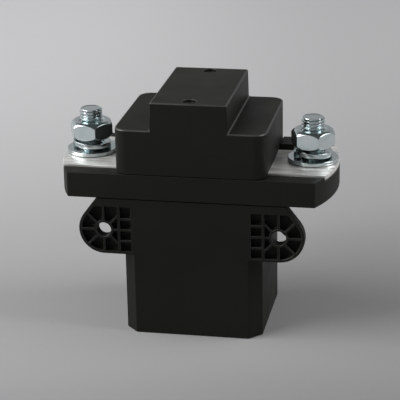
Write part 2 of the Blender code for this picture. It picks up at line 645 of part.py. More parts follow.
def make_terminal_deck():
    """Moulds the deck with its plate recesses, keys, head pockets, yoke posts and the shaft's guide boss.

    The boss ends above the plunger and stops it there at rest.
    """
    right = end_arc(RIGHT, -DECK_HALF_Y, DECK_HALF_Y, ARC_STEPS)
    left = end_arc(LEFT, DECK_HALF_Y, -DECK_HALF_Y, ARC_STEPS)
    deck = prism(right + left, DECK_BOTTOM, DECK_TOP, "terminal_deck", "black_moulding")
    soften(deck, DECK_EDGE)
    below, above = DECK_BOTTOM - CUT_MARGIN, DECK_TOP + CUT_MARGIN
    post_low = DECK_BOTTOM - YOKE_POST_HEIGHT
    raised, cutters = [], []
    for side, hand in SIDES:
        key_x = sorted((side * (BLOCK_HALF_X + GAP), side * KEY_OUTER_X))
        key_low = (key_x[0], KEY_FRONT_Y, RECESS_FLOOR - GAP)
        key_high = (key_x[1], DECK_HALF_Y - BLOCK_CORNER, DECK_TOP + KEY_RISE)
        raised.append(box(key_low, key_high, f"key_{hand}"))
        at = (side * TERMINAL_X, 0)
        head_pocket = hexagon(STUD_HEAD_WIDTH + 2 * GAP, at, 0)
        cutters.append(prism(plate_outline(side, GAP), RECESS_FLOOR, DECK_TOP + 2 * KEY_RISE, f"recess_{hand}"))
        cutters.append(prism(head_pocket, below, STUD_HEAD_TOP + GAP, f"head_pocket_{hand}"))
        cutters.append(rod(STUD_RADIUS + GAP, DECK_BOTTOM, DECK_TOP, f"stud_hole_{hand}", at=at))
        for end_side, end in ENDS:
            cutters.append(underside_pocket(side, end_side, f"underside_{hand}_{end}"))
            post_at = (side * YOKE_SCREW_X, end_side * YOKE_SCREW_Y)
            raised.append(rod(YOKE_POST_RADIUS, post_low, DECK_BOTTOM + YOKE_POST_HEIGHT, f"post_{hand}_{end}",
                              at=post_at, steps=SMALL_STEPS))
            cutters.append(rod(YOKE_SCREW_RADIUS + GAP, post_low - CUT_MARGIN, YOKE_PLATE_TOP + YOKE_SCREW_BITE + GAP,
                               f"post_hole_{hand}_{end}", at=post_at, steps=SMALL_STEPS))
    raised.append(rod(GUIDE_BOSS_RADIUS, PLUNGER_TOP + GAP, DECK_BOTTOM + GAP, "guide_boss", steps=SMALL_STEPS))
    cutters.append(rod(SHAFT_RADIUS + SHAFT_GUIDE_CLEARANCE, PLUNGER_TOP, above, "shaft_guide", steps=SMALL_STEPS))
    for side, end in ENDS:
        cutters.append(rod(COVER_SCREW_RADIUS + GAP, below, above, f"deck_screw_hole_{end}",
                           at=(0, side * COVER_SCREW_Y), steps=SMALL_STEPS))
    outer = housing_outline((HOUSING_WALL - GASKET_WIDTH) / 2 - GAP)
    inner = housing_outline((HOUSING_WALL + GASKET_WIDTH) / 2 + GAP)
    groove = prism(outer, below, DECK_BOTTOM + GASKET_HEIGHT + GAP, "gasket_groove")
    cutters.append(cut(groove, prism(inner, below - CUT_MARGIN, DECK_TOP, "gasket_land")))
    join(deck, *raised)
    cut(deck, *cutters)


def underside_pocket(side, end_side, name):
    """Makes the cutter for one coring pocket under the deck's overhang, beside the stud's head."""
    inner_x = HOUSING_HALF_X + 2 * UNDERSIDE_RIB
    outer_y = DECK_HALF_Y - UNDERSIDE_RIB
    inner_y = STUD_HEAD_WIDTH / 2 + UNDERSIDE_RIB + GAP
    steps = 4
    depths = [inner_y + (outer_y - inner_y) * k / steps for k in range(steps + 1)]
    outline = [(side * inner_x, end_side * inner_y)]
    outline += [(side * end_arc_x(y, UNDERSIDE_RIB), end_side * y) for y in depths]
    outline += [(side * inner_x, end_side * outer_y)]
    return prism(outline, DECK_BOTTOM - CUT_MARGIN, DECK_BOTTOM + UNDERSIDE_POCKET_DEPTH, name)


def make_arc_cover():
    """Moulds the stepped cover: block, ridge, screw towers and the magnet pockets' ribs."""
    below = COVER_BOTTOM - CUT_MARGIN
    above = RIDGE_TOP + CUT_MARGIN
    foot = RIDGE_HALF_X + RIDGE_DRAFT
    wide = BLOCK_HALF_X + CUT_MARGIN
    front_outline = [(-wide, below), (wide, below), (wide, BLOCK_TOP), (foot, BLOCK_TOP), (RIDGE_HALF_X, RIDGE_TOP),
                     (-RIDGE_HALF_X, RIDGE_TOP), (-foot, BLOCK_TOP), (-wide, BLOCK_TOP)]
    profile = [(x, -DECK_HALF_Y - CUT_MARGIN, z) for x, z in front_outline]
    cover = extrude(profile, (0, 2 * (DECK_HALF_Y + CUT_MARGIN), 0), "arc_cover", "black_moulding")
    plan = rounded_outline(BLOCK_HALF_X, DECK_HALF_Y, BLOCK_CORNER)
    combine(cover, "INTERSECT", [prism(plan, below - CUT_MARGIN, above, "cover_plan")])
    soften(cover, COVER_EDGE)
    cutters = [box((-DECK_CORNER_X, -DECK_CORNER_X, below - CUT_MARGIN),
                   (DECK_CORNER_X, DECK_CORNER_X, COVER_BOTTOM), "cover_trim"), cover_cavity()]
    for side, end in ENDS:
        at = (0, side * COVER_SCREW_Y)
        cutters.append(rod(COVER_SCREW_RADIUS + GAP, below, above, f"cover_hole_{end}", at=at, steps=SMALL_STEPS))
        cutters.append(rod(COUNTERBORE_RADIUS, SCREW_HEAD_SEAT, above, f"counterbore_{end}", at=at))
    for side, hand in SIDES:
        slot_x = sorted((side * (BLOCK_HALF_X - 2 * COVER_WALL), side * wide))
        cutters.append(box((slot_x[0], -PLATE_HALF_Y - GAP, below), (slot_x[1], KEY_FRONT_Y, PLATE_TOP + GAP),
                           f"plate_slot_{hand}"))
    cut(cover, *cutters)


def cover_cavity():
    """Makes the cutter for the cover's inside, less the screw towers and the magnets' ribs."""
    low = COVER_BOTTOM - CUT_MARGIN
    inner_y = DECK_HALF_Y - COVER_WALL
    plan = rounded_outline(BLOCK_HALF_X - COVER_WALL, inner_y, BLOCK_CORNER - COVER_WALL, 3)
    cavity = prism(plan, low, BLOCK_TOP - COVER_WALL, "cover_cavity")
    ridge_x = RIDGE_HALF_X - COVER_WALL
    join(cavity, box((-ridge_x, -inner_y, low), (ridge_x, inner_y, RIDGE_TOP - COVER_WALL), "ridge_cavity"))
    kept = []
    for side, end in ENDS:
        at = (0, side * COVER_SCREW_Y)
        kept.append(rod(SCREW_TOWER_RADIUS, low - CUT_MARGIN, RIDGE_TOP, f"tower_{end}", at=at, steps=SMALL_STEPS))
        rib_y = sorted((side * (inner_y - GAP - MAGNET_THICKNESS), side * (inner_y + CUT_MARGIN)))
        for hand_side, hand in SIDES:
            for edge, name in ((-1, "a"), (1, "b")):
                rib_inner = hand_side * MAGNET_X + edge * (MAGNET_WIDTH / 2 + GAP)
                rib_x = sorted((rib_inner, rib_inner + edge * MAGNET_RIB))
                kept.append(box((rib_x[0], rib_y[0], COVER_BOTTOM + MAGNET_RISE), (rib_x[1], rib_y[1], BLOCK_TOP),
                                f"magnet_rib_{end}_{hand}_{name}"))
    return cut(cavity, *kept)


def make_terminals():
    """Makes the plate, stud, washers and nut of each terminal."""
    for side, hand in SIDES:
        at = (side * TERMINAL_X, 0)
        hole_radius = STUD_RADIUS + GAP
        plate = prism(plate_outline(side), PLATE_BOTTOM, PLATE_TOP, f"terminal_plate_{hand}", "tin")
        cut(plate, rod(hole_radius, PLATE_BOTTOM - CUT_MARGIN, PLATE_TOP + CUT_MARGIN, f"plate_hole_{hand}", at=at))
        make_stud(at, f"terminal_stud_{hand}")
        tube(hole_radius, FLAT_WASHER_RADIUS, FLAT_WASHER_BOTTOM, FLAT_WASHER_BOTTOM + FLAT_WASHER_THICKNESS,
             f"flat_washer_{hand}", "zinc", at=at, steps=FINE_STEPS)
        make_spring_washer(at, WASHER_SPLIT[side], f"spring_washer_{hand}")
        make_nut(at, NUT_TURN[side], f"hex_nut_{hand}")


def make_stud(at, name):
    """Makes a stud whose hexagon head sits in the deck's pocket from below."""
    head_bottom = STUD_HEAD_TOP - STUD_HEAD_HEIGHT
    profile = [(0, head_bottom + CUT_MARGIN), (STUD_RADIUS, head_bottom + CUT_MARGIN),
               (STUD_RADIUS, STUD_TOP - STUD_CHAMFER), (STUD_RADIUS - STUD_CHAMFER, STUD_TOP), (0, STUD_TOP)]
    stud = turned(profile, name, "zinc", at=at)
    join(stud, prism(hexagon(STUD_HEAD_WIDTH, at, 0), head_bottom, STUD_HEAD_TOP, f"{name}_head"))


def make_spring_washer(at, split, name):
    """Carries a section round the stud: it falls fast from its high end, then lies almost flat.

    Both ends are cut at a slant, so that the high end reaches over the low one.
    """
    bm = bmesh.new()
    inner, outer = STUD_RADIUS + GAP, SPRING_WASHER_RADIUS
    rows = []
    for step in range(FINE_STEPS + 1):
        row = []
        for radius, level in ((inner, 0), (outer, 0), (outer, 1), (inner, 1)):
            past_start = SPRING_WASHER_SWEEP * step / FINE_STEPS + SPRING_WASHER_SLANT * (1 - level)
            left_over = 1 - past_start / (SPRING_WASHER_SWEEP + SPRING_WASHER_SLANT)
            foot = SPRING_WASHER_BOTTOM + SPRING_WASHER_SET * left_over ** SPRING_WASHER_FALL
            angle = split - SPRING_WASHER_SLANT + past_start
            point = (at[0] + radius * math.cos(angle), at[1] + radius * math.sin(angle),
                     foot + SPRING_WASHER_THICKNESS * level)
            row.append(bm.verts.new(point))
        rows.append(row)
    for row, following in zip(rows, rows[1:]):
        for k in range(len(row)):
            bm.faces.new((row[k - 1], row[k], following[k], following[k - 1]))
    bm.faces.new(rows[0])
    bm.faces.new(rows[-1])
    place(mesh_from(bm, name, smooth=True), name, "zinc")


def make_nut(at, turn, name):
    """Makes a hexagon nut: a prism met with a turned body that gives both ends their chamfer."""
    top = NUT_BOTTOM + NUT_HEIGHT
    corner = NUT_WIDTH / math.sqrt(3)
    face = NUT_WIDTH / 2 * NUT_FACE_SHARE
    drop = (corner + GAP - face) * math.tan(NUT_CHAMFER_ANGLE)
    nut = prism(hexagon(NUT_WIDTH, at, turn), NUT_BOTTOM, top, name, "zinc")
    profile = [(0, NUT_BOTTOM), (face, NUT_BOTTOM), (corner + GAP, NUT_BOTTOM + drop), (corner + GAP, top - drop),
               (face, top), (0, top)]
    combine(nut, "INTERSECT", [turned(profile, f"{name}_chamfer", at=at, steps=FINE_STEPS, start=turn)])
    cut(nut, rod(STUD_RADIUS + GAP, NUT_BOTTOM - CUT_MARGIN, top + CUT_MARGIN, f"{name}_bore", at=at))


def make_screw(at, radius, head_radius, head_height, seat, length, up, name):
    """Makes a pan-head screw with a cross recess; up is 1 for a head on top and -1 for one below."""
    rim = head_height * SCREW_RIM_SHARE
    tip = radius * SCREW_TIP_SHARE
    profile = [(0, -length), (tip, -length), (radius, -length + radius), (radius, 0), (head_radius, 0),
               (head_radius, head_height - rim), (head_radius - rim, head_height), (0, head_height)]
    placed = [(distance, seat + up * height) for distance, height in profile]
    screw = turned(placed, name, "black_screw" if up > 0 else "zinc", at=at, steps=SMALL_STEPS)
    drive_top = seat + up * (head_height + CUT_MARGIN)
    drive_bottom = seat + up * (head_height - SCREW_DRIVE_DEPTH)
    levels = sorted((drive_top, drive_bottom))
    slots = []
    for size_x, size_y in ((SCREW_DRIVE_LENGTH, SCREW_DRIVE_WIDTH), (SCREW_DRIVE_WIDTH, SCREW_DRIVE_LENGTH)):
        low = (at[0] - size_x / 2, at[1] - size_y / 2, levels[0])
        high = (at[0] + size_x / 2, at[1] + size_y / 2, levels[1])
        slots.append(box(low, high, f"{name}_drive"))
    cut(screw, *slots)


def make_fasteners():
    """Makes the cover screws with their inserts, and the screws that hold the yoke plate to the deck."""
    for side, end in ENDS:
        at = (0, side * COVER_SCREW_Y)
        make_screw(at, COVER_SCREW_RADIUS, COVER_SCREW_HEAD_RADIUS, COVER_SCREW_HEAD_HEIGHT, SCREW_HEAD_SEAT + GAP,
                   COVER_SCREW_LENGTH, 1, f"cover_screw_{end}")
        bore = COVER_SCREW_RADIUS + GAP
        insert_top = HOUSING_HEIGHT - INSERT_BELOW_RIM
        tube(bore, bore + INSERT_WALL, insert_top - INSERT_LENGTH, insert_top, f"threaded_insert_{end}", "brass",
             at=at, steps=SMALL_STEPS)
        for hand_side, hand in SIDES:
            post_at = (hand_side * YOKE_SCREW_X, side * YOKE_SCREW_Y)
            make_screw(post_at, YOKE_SCREW_RADIUS, YOKE_SCREW_HEAD_RADIUS, YOKE_SCREW_HEAD_HEIGHT,
                       YOKE_PLATE_BOTTOM - GAP, YOKE_THICKNESS + YOKE_SCREW_BITE, -1, f"yoke_screw_{hand}_{end}")


def make_iron_circuit():
    """Makes the pad, the bent yoke, its top plate and the fixed core."""
    pad = box((-PAD_HALF_X, -PAD_HALF_Y, PAD_BOTTOM), (PAD_HALF_X, PAD_HALF_Y, PAD_BOTTOM + PAD_THICKNESS),
              "base_pad", "rubber")
    cut(pad, rod(PAD_HOLE_RADIUS, PAD_BOTTOM - CUT_MARGIN, YOKE_BOTTOM, "pad_hole", steps=SMALL_STEPS))
    inner_x = YOKE_HALF_X - YOKE_THICKNESS
    inner_bend = YOKE_BEND_RADIUS - YOKE_THICKNESS
    bend_z = YOKE_BOTTOM + YOKE_BEND_RADIUS
    bend_x = YOKE_HALF_X - YOKE_BEND_RADIUS
    outside = arc((bend_x, bend_z), YOKE_BEND_RADIUS, -math.pi / 2, 0, 4) + [(YOKE_HALF_X, YOKE_LEG_TOP)]
    inside = [(inner_x, YOKE_LEG_TOP)] + arc((bend_x, bend_z), inner_bend, 0, -math.pi / 2, 3)
    right = outside + inside
    left = [(-x, z) for x, z in reversed(right)]
    points = [(x, -YOKE_HALF_Y, z) for x, z in right + left]
    yoke = extrude(points, (0, 2 * YOKE_HALF_Y, 0), "yoke", "iron")
    cut(yoke, rod(CORE_SPIGOT_RADIUS + GAP, YOKE_BOTTOM - CUT_MARGIN, COIL_BOTTOM, "yoke_hole", steps=SMALL_STEPS))
    plate_plan = rounded_outline(YOKE_HALF_X, YOKE_PLATE_HALF_Y, YOKE_PLATE_CORNER, 3)
    plate = prism(plate_plan, YOKE_PLATE_BOTTOM, YOKE_PLATE_TOP, "yoke_plate", "iron")
    plate_low, plate_high = YOKE_PLATE_BOTTOM - CUT_MARGIN, YOKE_PLATE_TOP + CUT_MARGIN
    holes = [rod(SLEEVE_RADIUS + GAP, plate_low, plate_high, "yoke_plate_bore")]
    for side, hand in SIDES:
        for end_side, end in ENDS:
            at = (side * YOKE_SCREW_X, end_side * YOKE_SCREW_Y)
            holes.append(rod(YOKE_SCREW_RADIUS + GAP, plate_low, plate_high, f"plate_hole_{hand}_{end}", at=at,
                             steps=SMALL_STEPS))
    cut(plate, *holes)
    recess_floor = CORE_TOP - CORE_RECESS_DEPTH
    core = [(0, YOKE_BOTTOM), (CORE_SPIGOT_RADIUS, YOKE_BOTTOM), (CORE_SPIGOT_RADIUS, COIL_BOTTOM),
            (PLUNGER_RADIUS, COIL_BOTTOM), (PLUNGER_RADIUS, CORE_TOP), (SPRING_RECESS_RADIUS, CORE_TOP),
            (SPRING_RECESS_RADIUS, recess_floor), (0, recess_floor)]
    turned(core, "fixed_core", "iron")


def make_coil():
    """Makes the bobbin with a tongue over each pin, the winding, the guide sleeve and the pins."""
    wall_radius = BOBBIN_BORE_RADIUS + BOBBIN_WALL
    low_flange, high_flange = COIL_BOTTOM + BOBBIN_FLANGE_THICKNESS, COIL_TOP - BOBBIN_FLANGE_THICKNESS
    profile = [(BOBBIN_BORE_RADIUS, COIL_BOTTOM), (BOBBIN_FLANGE_RADIUS, COIL_BOTTOM),
               (BOBBIN_FLANGE_RADIUS, low_flange), (wall_radius, low_flange), (wall_radius, high_flange),
               (BOBBIN_FLANGE_RADIUS, high_flange), (BOBBIN_FLANGE_RADIUS, COIL_TOP), (BOBBIN_BORE_RADIUS, COIL_TOP)]
    bobbin = turned(profile, "bobbin", "bobbin_nylon", closed=True)
    tongues = []
    for side, hand in SIDES:
        tongue_x = sorted((side * BOBBIN_TONGUE_INNER_X, side * BOBBIN_TONGUE_OUTER_X))
        tongues.append(box((tongue_x[0], BOBBIN_FLANGE_RADIUS - BOBBIN_TONGUE_INNER_X, high_flange),
                           (tongue_x[1], BOBBIN_TONGUE_REACH, COIL_TOP), f"bobbin_tongue_{hand}"))
    join(bobbin, *tongues)
    edge = (WINDING_RADIUS - wall_radius) * WINDING_EDGE_SHARE
    low, high = low_flange + GAP, high_flange - GAP
    winding = [(wall_radius + GAP, low), (WINDING_RADIUS - edge, low), (WINDING_RADIUS, low + edge),
               (WINDING_RADIUS, high - edge), (WINDING_RADIUS - edge, high), (wall_radius + GAP, high)]
    turned(winding, "coil_winding", "enamel_wire", closed=True)
    tube(PLUNGER_RADIUS + GAP, SLEEVE_RADIUS, COIL_BOTTOM, YOKE_PLATE_TOP - GAP, "guide_sleeve", "brass")
    for side, hand in SIDES:
        half = PIN_WIDTH / 2
        tail_y = HOUSING_HALF_Y - HOUSING_WALL - PIN_TAIL
        tip_y = HOUSING_HALF_Y + SOCKET_REACH - PIN_SETBACK
        taper = PIN_WIDTH / 4
        centre = side * PIN_X
        outline = [(centre - half, tail_y), (centre + half, tail_y), (centre + half, tip_y - taper),
                   (centre + half - taper, tip_y), (centre - half + taper, tip_y), (centre - half, tip_y - taper)]
        prism(outline, PIN_TOP - PIN_THICKNESS, PIN_TOP, f"coil_pin_{hand}", "brass")


def spring(radius, wire, low, high, turns, name, parent=None):
    """Winds a compression spring between two levels, with its end turns pressed flat."""
    points_per_turn = 12
    count = round(turns * points_per_turn)
    data = bpy.data.curves.new(name, "CURVE")
    data.dimensions = "3D"
    data.bevel_depth = wire / 2
    data.bevel_resolution = 1
    data.use_fill_caps = True
    spline = data.splines.new("POLY")
    spline.points.add(count)
    bottom, top = low + wire / 2, high - wire / 2
    for index in range(count + 1):
        turn = index / points_per_turn
        share = smooth_share(turn, turns)
        angle = turn * math.tau
        height = bottom + (top - bottom) * share
        spline.points[index].co = (radius * math.cos(angle), radius * math.sin(angle), height, 1)
    return place(data, name, "spring_steel", parent)


def smooth_share(turn, turns):
    """Gives how far up a spring a turn lies: the first and last turn climb only one wire's share."""
    end_climb = 0.55
    slow = end_climb / turns
    middle = turns - 2
    if turn <= 1:
        return slow * turn
    if turn >= turns - 1:
        return 1 - slow * (turns - turn)
    return slow + (1 - 2 * slow) * (turn - 1) / middle


def make_moving_parts():
    """Makes the plunger with its shaft, and the bridge that the shaft carries."""
    plunger_body = carrier("plunger_axis", PLUNGER_BOTTOM)
    bridge_body = carrier("bridge_axis", BRIDGE_BOTTOM, plunger_body)
    shaft_seat = SHAFT_RADIUS + GAP
    recess_top = PLUNGER_BOTTOM + PLUNGER_RECESS_DEPTH
    shaft_bottom = PLUNGER_TOP - SHAFT_DEPTH_IN_PLUNGER
    plunger = [(0, recess_top), (SPRING_RECESS_RADIUS, recess_top), (SPRING_RECESS_RADIUS, PLUNGER_BOTTOM),
               (PLUNGER_RADIUS, PLUNGER_BOTTOM), (PLUNGER_RADIUS, PLUNGER_TOP), (shaft_seat, PLUNGER_TOP),
               (shaft_seat, shaft_bottom - GAP), (0, shaft_bottom - GAP)]
    turned(plunger, "plunger", "iron", plunger_body)
    collar_bottom = SHAFT_COLLAR_TOP - SHAFT_COLLAR_THICKNESS
    groove_radius = SHAFT_RADIUS - CLIP_GROOVE_DEPTH
    groove_low, groove_high = CLIP_BOTTOM - GAP, CLIP_BOTTOM + CLIP_THICKNESS + GAP
    tip = SHAFT_TIP / 3
    shaft = [(0, shaft_bottom), (SHAFT_RADIUS, shaft_bottom), (SHAFT_RADIUS, collar_bottom),
             (SHAFT_COLLAR_RADIUS, collar_bottom), (SHAFT_COLLAR_RADIUS, SHAFT_COLLAR_TOP),
             (SHAFT_RADIUS, SHAFT_COLLAR_TOP), (SHAFT_RADIUS, groove_low), (groove_radius, groove_low),
             (groove_radius, groove_high), (SHAFT_RADIUS, groove_high), (SHAFT_RADIUS, SHAFT_TOP - tip),
             (SHAFT_RADIUS - tip, SHAFT_TOP), (0, SHAFT_TOP)]
    turned(shaft, "plunger_shaft", "spring_steel", plunger_body, steps=SMALL_STEPS)
    make_bridge(bridge_body)
    tube(BUSH_BORE_RADIUS, SPRING_SEAT_RADIUS, SPRING_SEAT_BOTTOM, SPRING_SEAT_BOTTOM + SPRING_SEAT_THICKNESS,
         "spring_seat", "spring_steel", bridge_body)
    spring(CONTACT_SPRING_MEAN_RADIUS, CONTACT_SPRING_WIRE, CONTACT_SPRING_BOTTOM,
           CONTACT_SPRING_BOTTOM + CONTACT_SPRING_LENGTH, CONTACT_SPRING_TURNS, "contact_spring", plunger_body)
    tube(BUSH_BORE_RADIUS, SPRING_SEAT_RADIUS, RETAINER_BOTTOM, RETAINER_BOTTOM + SPRING_SEAT_THICKNESS,
         "spring_retainer", "spring_steel", plunger_body)
    make_clip(groove_radius + GAP, plunger_body)
    spring(RETURN_SPRING_MEAN_RADIUS, RETURN_SPRING_WIRE, CORE_TOP - CORE_RECESS_DEPTH + GAP, recess_top - GAP,
           RETURN_SPRING_TURNS, "return_spring")


def make_clip(inner_radius, parent):
    """Stamps the clip in the shaft's groove: a ring open on one side."""
    opening = math.radians(70)
    outside = arc((0, 0), CLIP_RADIUS, opening / 2, math.tau - opening / 2, SMALL_STEPS)
    inside = arc((0, 0), inner_radius, math.tau - opening / 2, opening / 2, SMALL_STEPS)
    prism(outside + inside, CLIP_BOTTOM, CLIP_BOTTOM + CLIP_THICKNESS, "shaft_clip", "spring_steel", parent)


def make_bridge(parent):
    """Makes the waisted copper bridge, its two contacts and the insulating bush in its hole."""
    half_length, half_width, half_waist = BRIDGE_LENGTH / 2, BRIDGE_WIDTH / 2, BRIDGE_WAIST / 2
    shoulder = MOVING_CONTACT_RADIUS + BUSH_FLANGE_RADIUS
    round_end = arc((half_length - half_width, 0), half_width, -math.pi / 2, math.pi / 2, 8)
    quarter = [(shoulder, half_width), (BUSH_FLANGE_RADIUS, half_waist)]
    right = [(x, -y) for x, y in reversed(quarter)] + round_end + quarter
    left = [(-x, -y) for x, y in right]
    bridge = prism(right + left, BRIDGE_BOTTOM, BRIDGE_TOP, "contact_bridge", "copper", parent)
    cut(bridge, rod(BUSH_SPIGOT_RADIUS + GAP, BRIDGE_BOTTOM - CUT_MARGIN, BRIDGE_TOP + CUT_MARGIN, "bridge_hole",
                    steps=SMALL_STEPS))
    flange_top = BUSH_BOTTOM + BUSH_FLANGE_THICKNESS
    bush = [(BUSH_BORE_RADIUS, BUSH_BOTTOM), (BUSH_FLANGE_RADIUS, BUSH_BOTTOM), (BUSH_FLANGE_RADIUS, flange_top),
            (BUSH_SPIGOT_RADIUS, flange_top), (BUSH_SPIGOT_RADIUS, BRIDGE_TOP - GAP),
            (BUSH_BORE_RADIUS, BRIDGE_TOP - GAP)]
    turned(bush, "bridge_bush", "bobbin_nylon", parent, steps=SMALL_STEPS, closed=True)
    for side, hand in SIDES:
        at = (side * FIXED_CONTACT_X, 0)
        low, high = MOVING_CONTACT_BOTTOM, MOVING_CONTACT_BOTTOM + MOVING_CONTACT_THICKNESS
        moving = [(0, low), (MOVING_CONTACT_RADIUS - CONTACT_EDGE, low), (MOVING_CONTACT_RADIUS, low + CONTACT_EDGE),
                  (MOVING_CONTACT_RADIUS, high), (0, high)]
        turned(moving, f"moving_contact_{hand}", "silver_alloy", parent, at, SMALL_STEPS)


def make_contact_parts():
    """Makes the fixed contacts on the plates, and the magnets in the cover's pockets."""
    for side, hand in SIDES:
        at = (side * FIXED_CONTACT_X, 0)
        low, high = PLATE_TOP + GAP, FIXED_CONTACT_TOP
        fixed = [(0, low), (FIXED_CONTACT_RADIUS, low), (FIXED_CONTACT_RADIUS, high - CONTACT_EDGE),
                 (FIXED_CONTACT_RADIUS - CONTACT_EDGE, high), (0, high)]
        turned(fixed, f"fixed_contact_{hand}", "silver_alloy", at=at, steps=SMALL_STEPS)
        for end_side, end in ENDS:
            outer_y = DECK_HALF_Y - COVER_WALL - GAP
            depths = sorted((end_side * outer_y, end_side * (outer_y - MAGNET_THICKNESS)))
            low_z = COVER_BOTTOM + MAGNET_RISE
            half = MAGNET_WIDTH / 2
            box((side * MAGNET_X - half, depths[0], low_z), (side * MAGNET_X + half, depths[1], low_z + MAGNET_HEIGHT),
                f"blowout_magnet_{hand}_{end}", "ferrite")


def make_gasket():
    """Makes the gasket that lies in the deck's groove over the housing's rim."""
    outer = housing_outline((HOUSING_WALL - GASKET_WIDTH) / 2)
    inner = housing_outline((HOUSING_WALL + GASKET_WIDTH) / 2)
    gasket = prism(outer, DECK_BOTTOM, DECK_BOTTOM + GASKET_HEIGHT, "deck_gasket", "rubber")
    cut(gasket, prism(inner, DECK_BOTTOM - CUT_MARGIN, DECK_TOP, "gasket_inside"))


def main():
    """Builds every piece in the order in which the contactor is put together."""
    clear_scene()
    make_lower_housing()
    make_iron_circuit()
    make_coil()
    make_terminal_deck()
    make_gasket()
    make_terminals()
    make_contact_parts()
    make_moving_parts()
    make_arc_cover()
    make_fasteners()


main()
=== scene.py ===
"""Dresses the DC contactor: grained black mouldings, zinc-plated terminal hardware, rubbed tin-plated bars and
the finishes of the coil, springs and contacts inside.

Lengths are metres in the model's own frame: +Z up, +X along the terminal deck, -Y the side with the ears.
"""
import logging
import math
from collections.abc import Callable, Sequence
from dataclasses import dataclass
from enum import Enum

import bmesh
import bpy
import numpy as np
from bpy.types import ID, Material, Mesh, Node, NodeOutputs, NodeSocket, NodeTree, Object
from mathutils import Matrix, Vector


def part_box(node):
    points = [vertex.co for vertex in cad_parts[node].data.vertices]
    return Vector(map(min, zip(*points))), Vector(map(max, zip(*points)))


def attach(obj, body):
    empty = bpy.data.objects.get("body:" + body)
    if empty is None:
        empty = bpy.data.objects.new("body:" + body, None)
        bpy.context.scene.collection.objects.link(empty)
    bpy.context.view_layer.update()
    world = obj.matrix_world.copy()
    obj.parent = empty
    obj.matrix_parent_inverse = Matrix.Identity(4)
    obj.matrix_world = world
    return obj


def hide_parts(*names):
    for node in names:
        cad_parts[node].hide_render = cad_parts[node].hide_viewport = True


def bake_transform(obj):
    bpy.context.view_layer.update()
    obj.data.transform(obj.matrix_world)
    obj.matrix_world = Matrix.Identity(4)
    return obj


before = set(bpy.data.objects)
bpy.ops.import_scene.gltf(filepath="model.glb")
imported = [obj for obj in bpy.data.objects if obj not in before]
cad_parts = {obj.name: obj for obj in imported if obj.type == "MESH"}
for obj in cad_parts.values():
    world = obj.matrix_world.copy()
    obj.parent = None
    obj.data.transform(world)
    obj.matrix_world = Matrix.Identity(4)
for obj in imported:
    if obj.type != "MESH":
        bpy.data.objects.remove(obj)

LOG = logging.getLogger("contactor")
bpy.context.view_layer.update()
HOUSING_BODY = "housing"
FULL_TURN = 2 * math.pi
Pair = tuple[float, float]
Triple = tuple[float, float, float]


class Hand(Enum):
    """The two ends of the terminal deck."""

    LEFT = "left"
    RIGHT = "right"


class End(Enum):
    """The two sides of the cover that its screws stand at."""

    FRONT = "front"
    BACK = "back"


# Surfaces


def unit(vectors: np.ndarray) -> np.ndarray:
    """Scales an array of vectors to length one along its last axis."""
    return vectors / np.linalg.norm(vectors, axis=-1, keepdims=True)


def joined(*parts: np.ndarray | float) -> np.ndarray:
    """Stacks arrays and numbers along a new last axis, each repeated to the shape of them all."""
    return np.stack(np.broadcast_arrays(*parts), axis=-1)


def rounded_profile(corners: np.ndarray, sizes: Sequence[float], steps: int = 4) -> np.ndarray:
    """Rounds the corners of many closed profiles at once.

    Each corner P becomes the curve (1-t)^2 A + 2t(1-t) P + t^2 C, where A and C lie a corner size before and
    after it along the profile.

    Args:
        corners: profile points, shape (corners, columns, 2).
        sizes: how far each rounding reaches along both edges, 0 for a point that stays.
        steps: spans in each rounding.

    Returns:
        The rounded profiles, shape (rows, columns, 2).
    """
    blend = np.linspace(0.0, 1.0, steps + 1)[:, None, None]
    rows = []
    for index, (corner, size) in enumerate(zip(corners, sizes)):
        if size == 0.0:
            rows.append(corner[None])
            continue
        start = corner + size * unit(corners[index - 1] - corner)
        finish = corner + size * unit(corners[(index + 1) % len(sizes)] - corner)
        rows.append((1 - blend) ** 2 * start + 2 * blend * (1 - blend) * corner + blend ** 2 * finish)
    return np.concatenate(rows)


def revolve(profile: np.ndarray, angles: np.ndarray, centre: Pair) -> np.ndarray:
    """Turns profiles about a vertical axis: (radius, z) at an angle becomes (r cos, r sin, z) round the centre.

    Args:
        profile: radius and height, shape (..., 2).
        angles: the angle of each column or of each point.
        centre: x and y of the axis.

    Returns:
        Points of the surface, shape (..., 3).
    """
    radius, height = profile[..., 0], profile[..., 1]
    return joined(centre[0] + radius * np.cos(angles), centre[1] + radius * np.sin(angles), height)


def same_all_round(profile: Sequence[Pair], columns: int) -> np.ndarray:
    """Repeats one (radius, z) profile for every column, giving shape (points, columns, 2)."""
    return np.repeat(np.array(profile)[:, None, :], columns, axis=1)


def whole_turn(columns: int) -> np.ndarray:
    """Spreads angles evenly round a full turn."""
    return np.linspace(0.0, FULL_TURN, columns, endpoint=False)


def upright_axis(node_name: str) -> Pair:
    """Gives x and y of the middle of a node's box."""
    low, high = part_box(node_name)
    return (low[0] + high[0]) / 2, (low[1] + high[1]) / 2


def levels(node_name: str) -> Pair:
    """Gives the lowest and the highest point of a node."""
    low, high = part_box(node_name)
    return low[2], high[2]


def grid_faces(rows: int, columns: int, wrap_rows: bool, wrap_columns: bool) -> np.ndarray:
    """Numbers the four corners of each cell of a grid of points.

    Returns:
        Corner numbers, shape (cells, 4), running round each cell.
    """
    row = np.arange(rows if wrap_rows else rows - 1)[:, None]
    column = np.arange(columns if wrap_columns else columns - 1)[None, :]
    next_row, next_column = (row + 1) % rows, (column + 1) % columns
    return joined(row * columns + column, row * columns + next_column,
                  next_row * columns + next_column, next_row * columns + column).reshape(-1, 4)


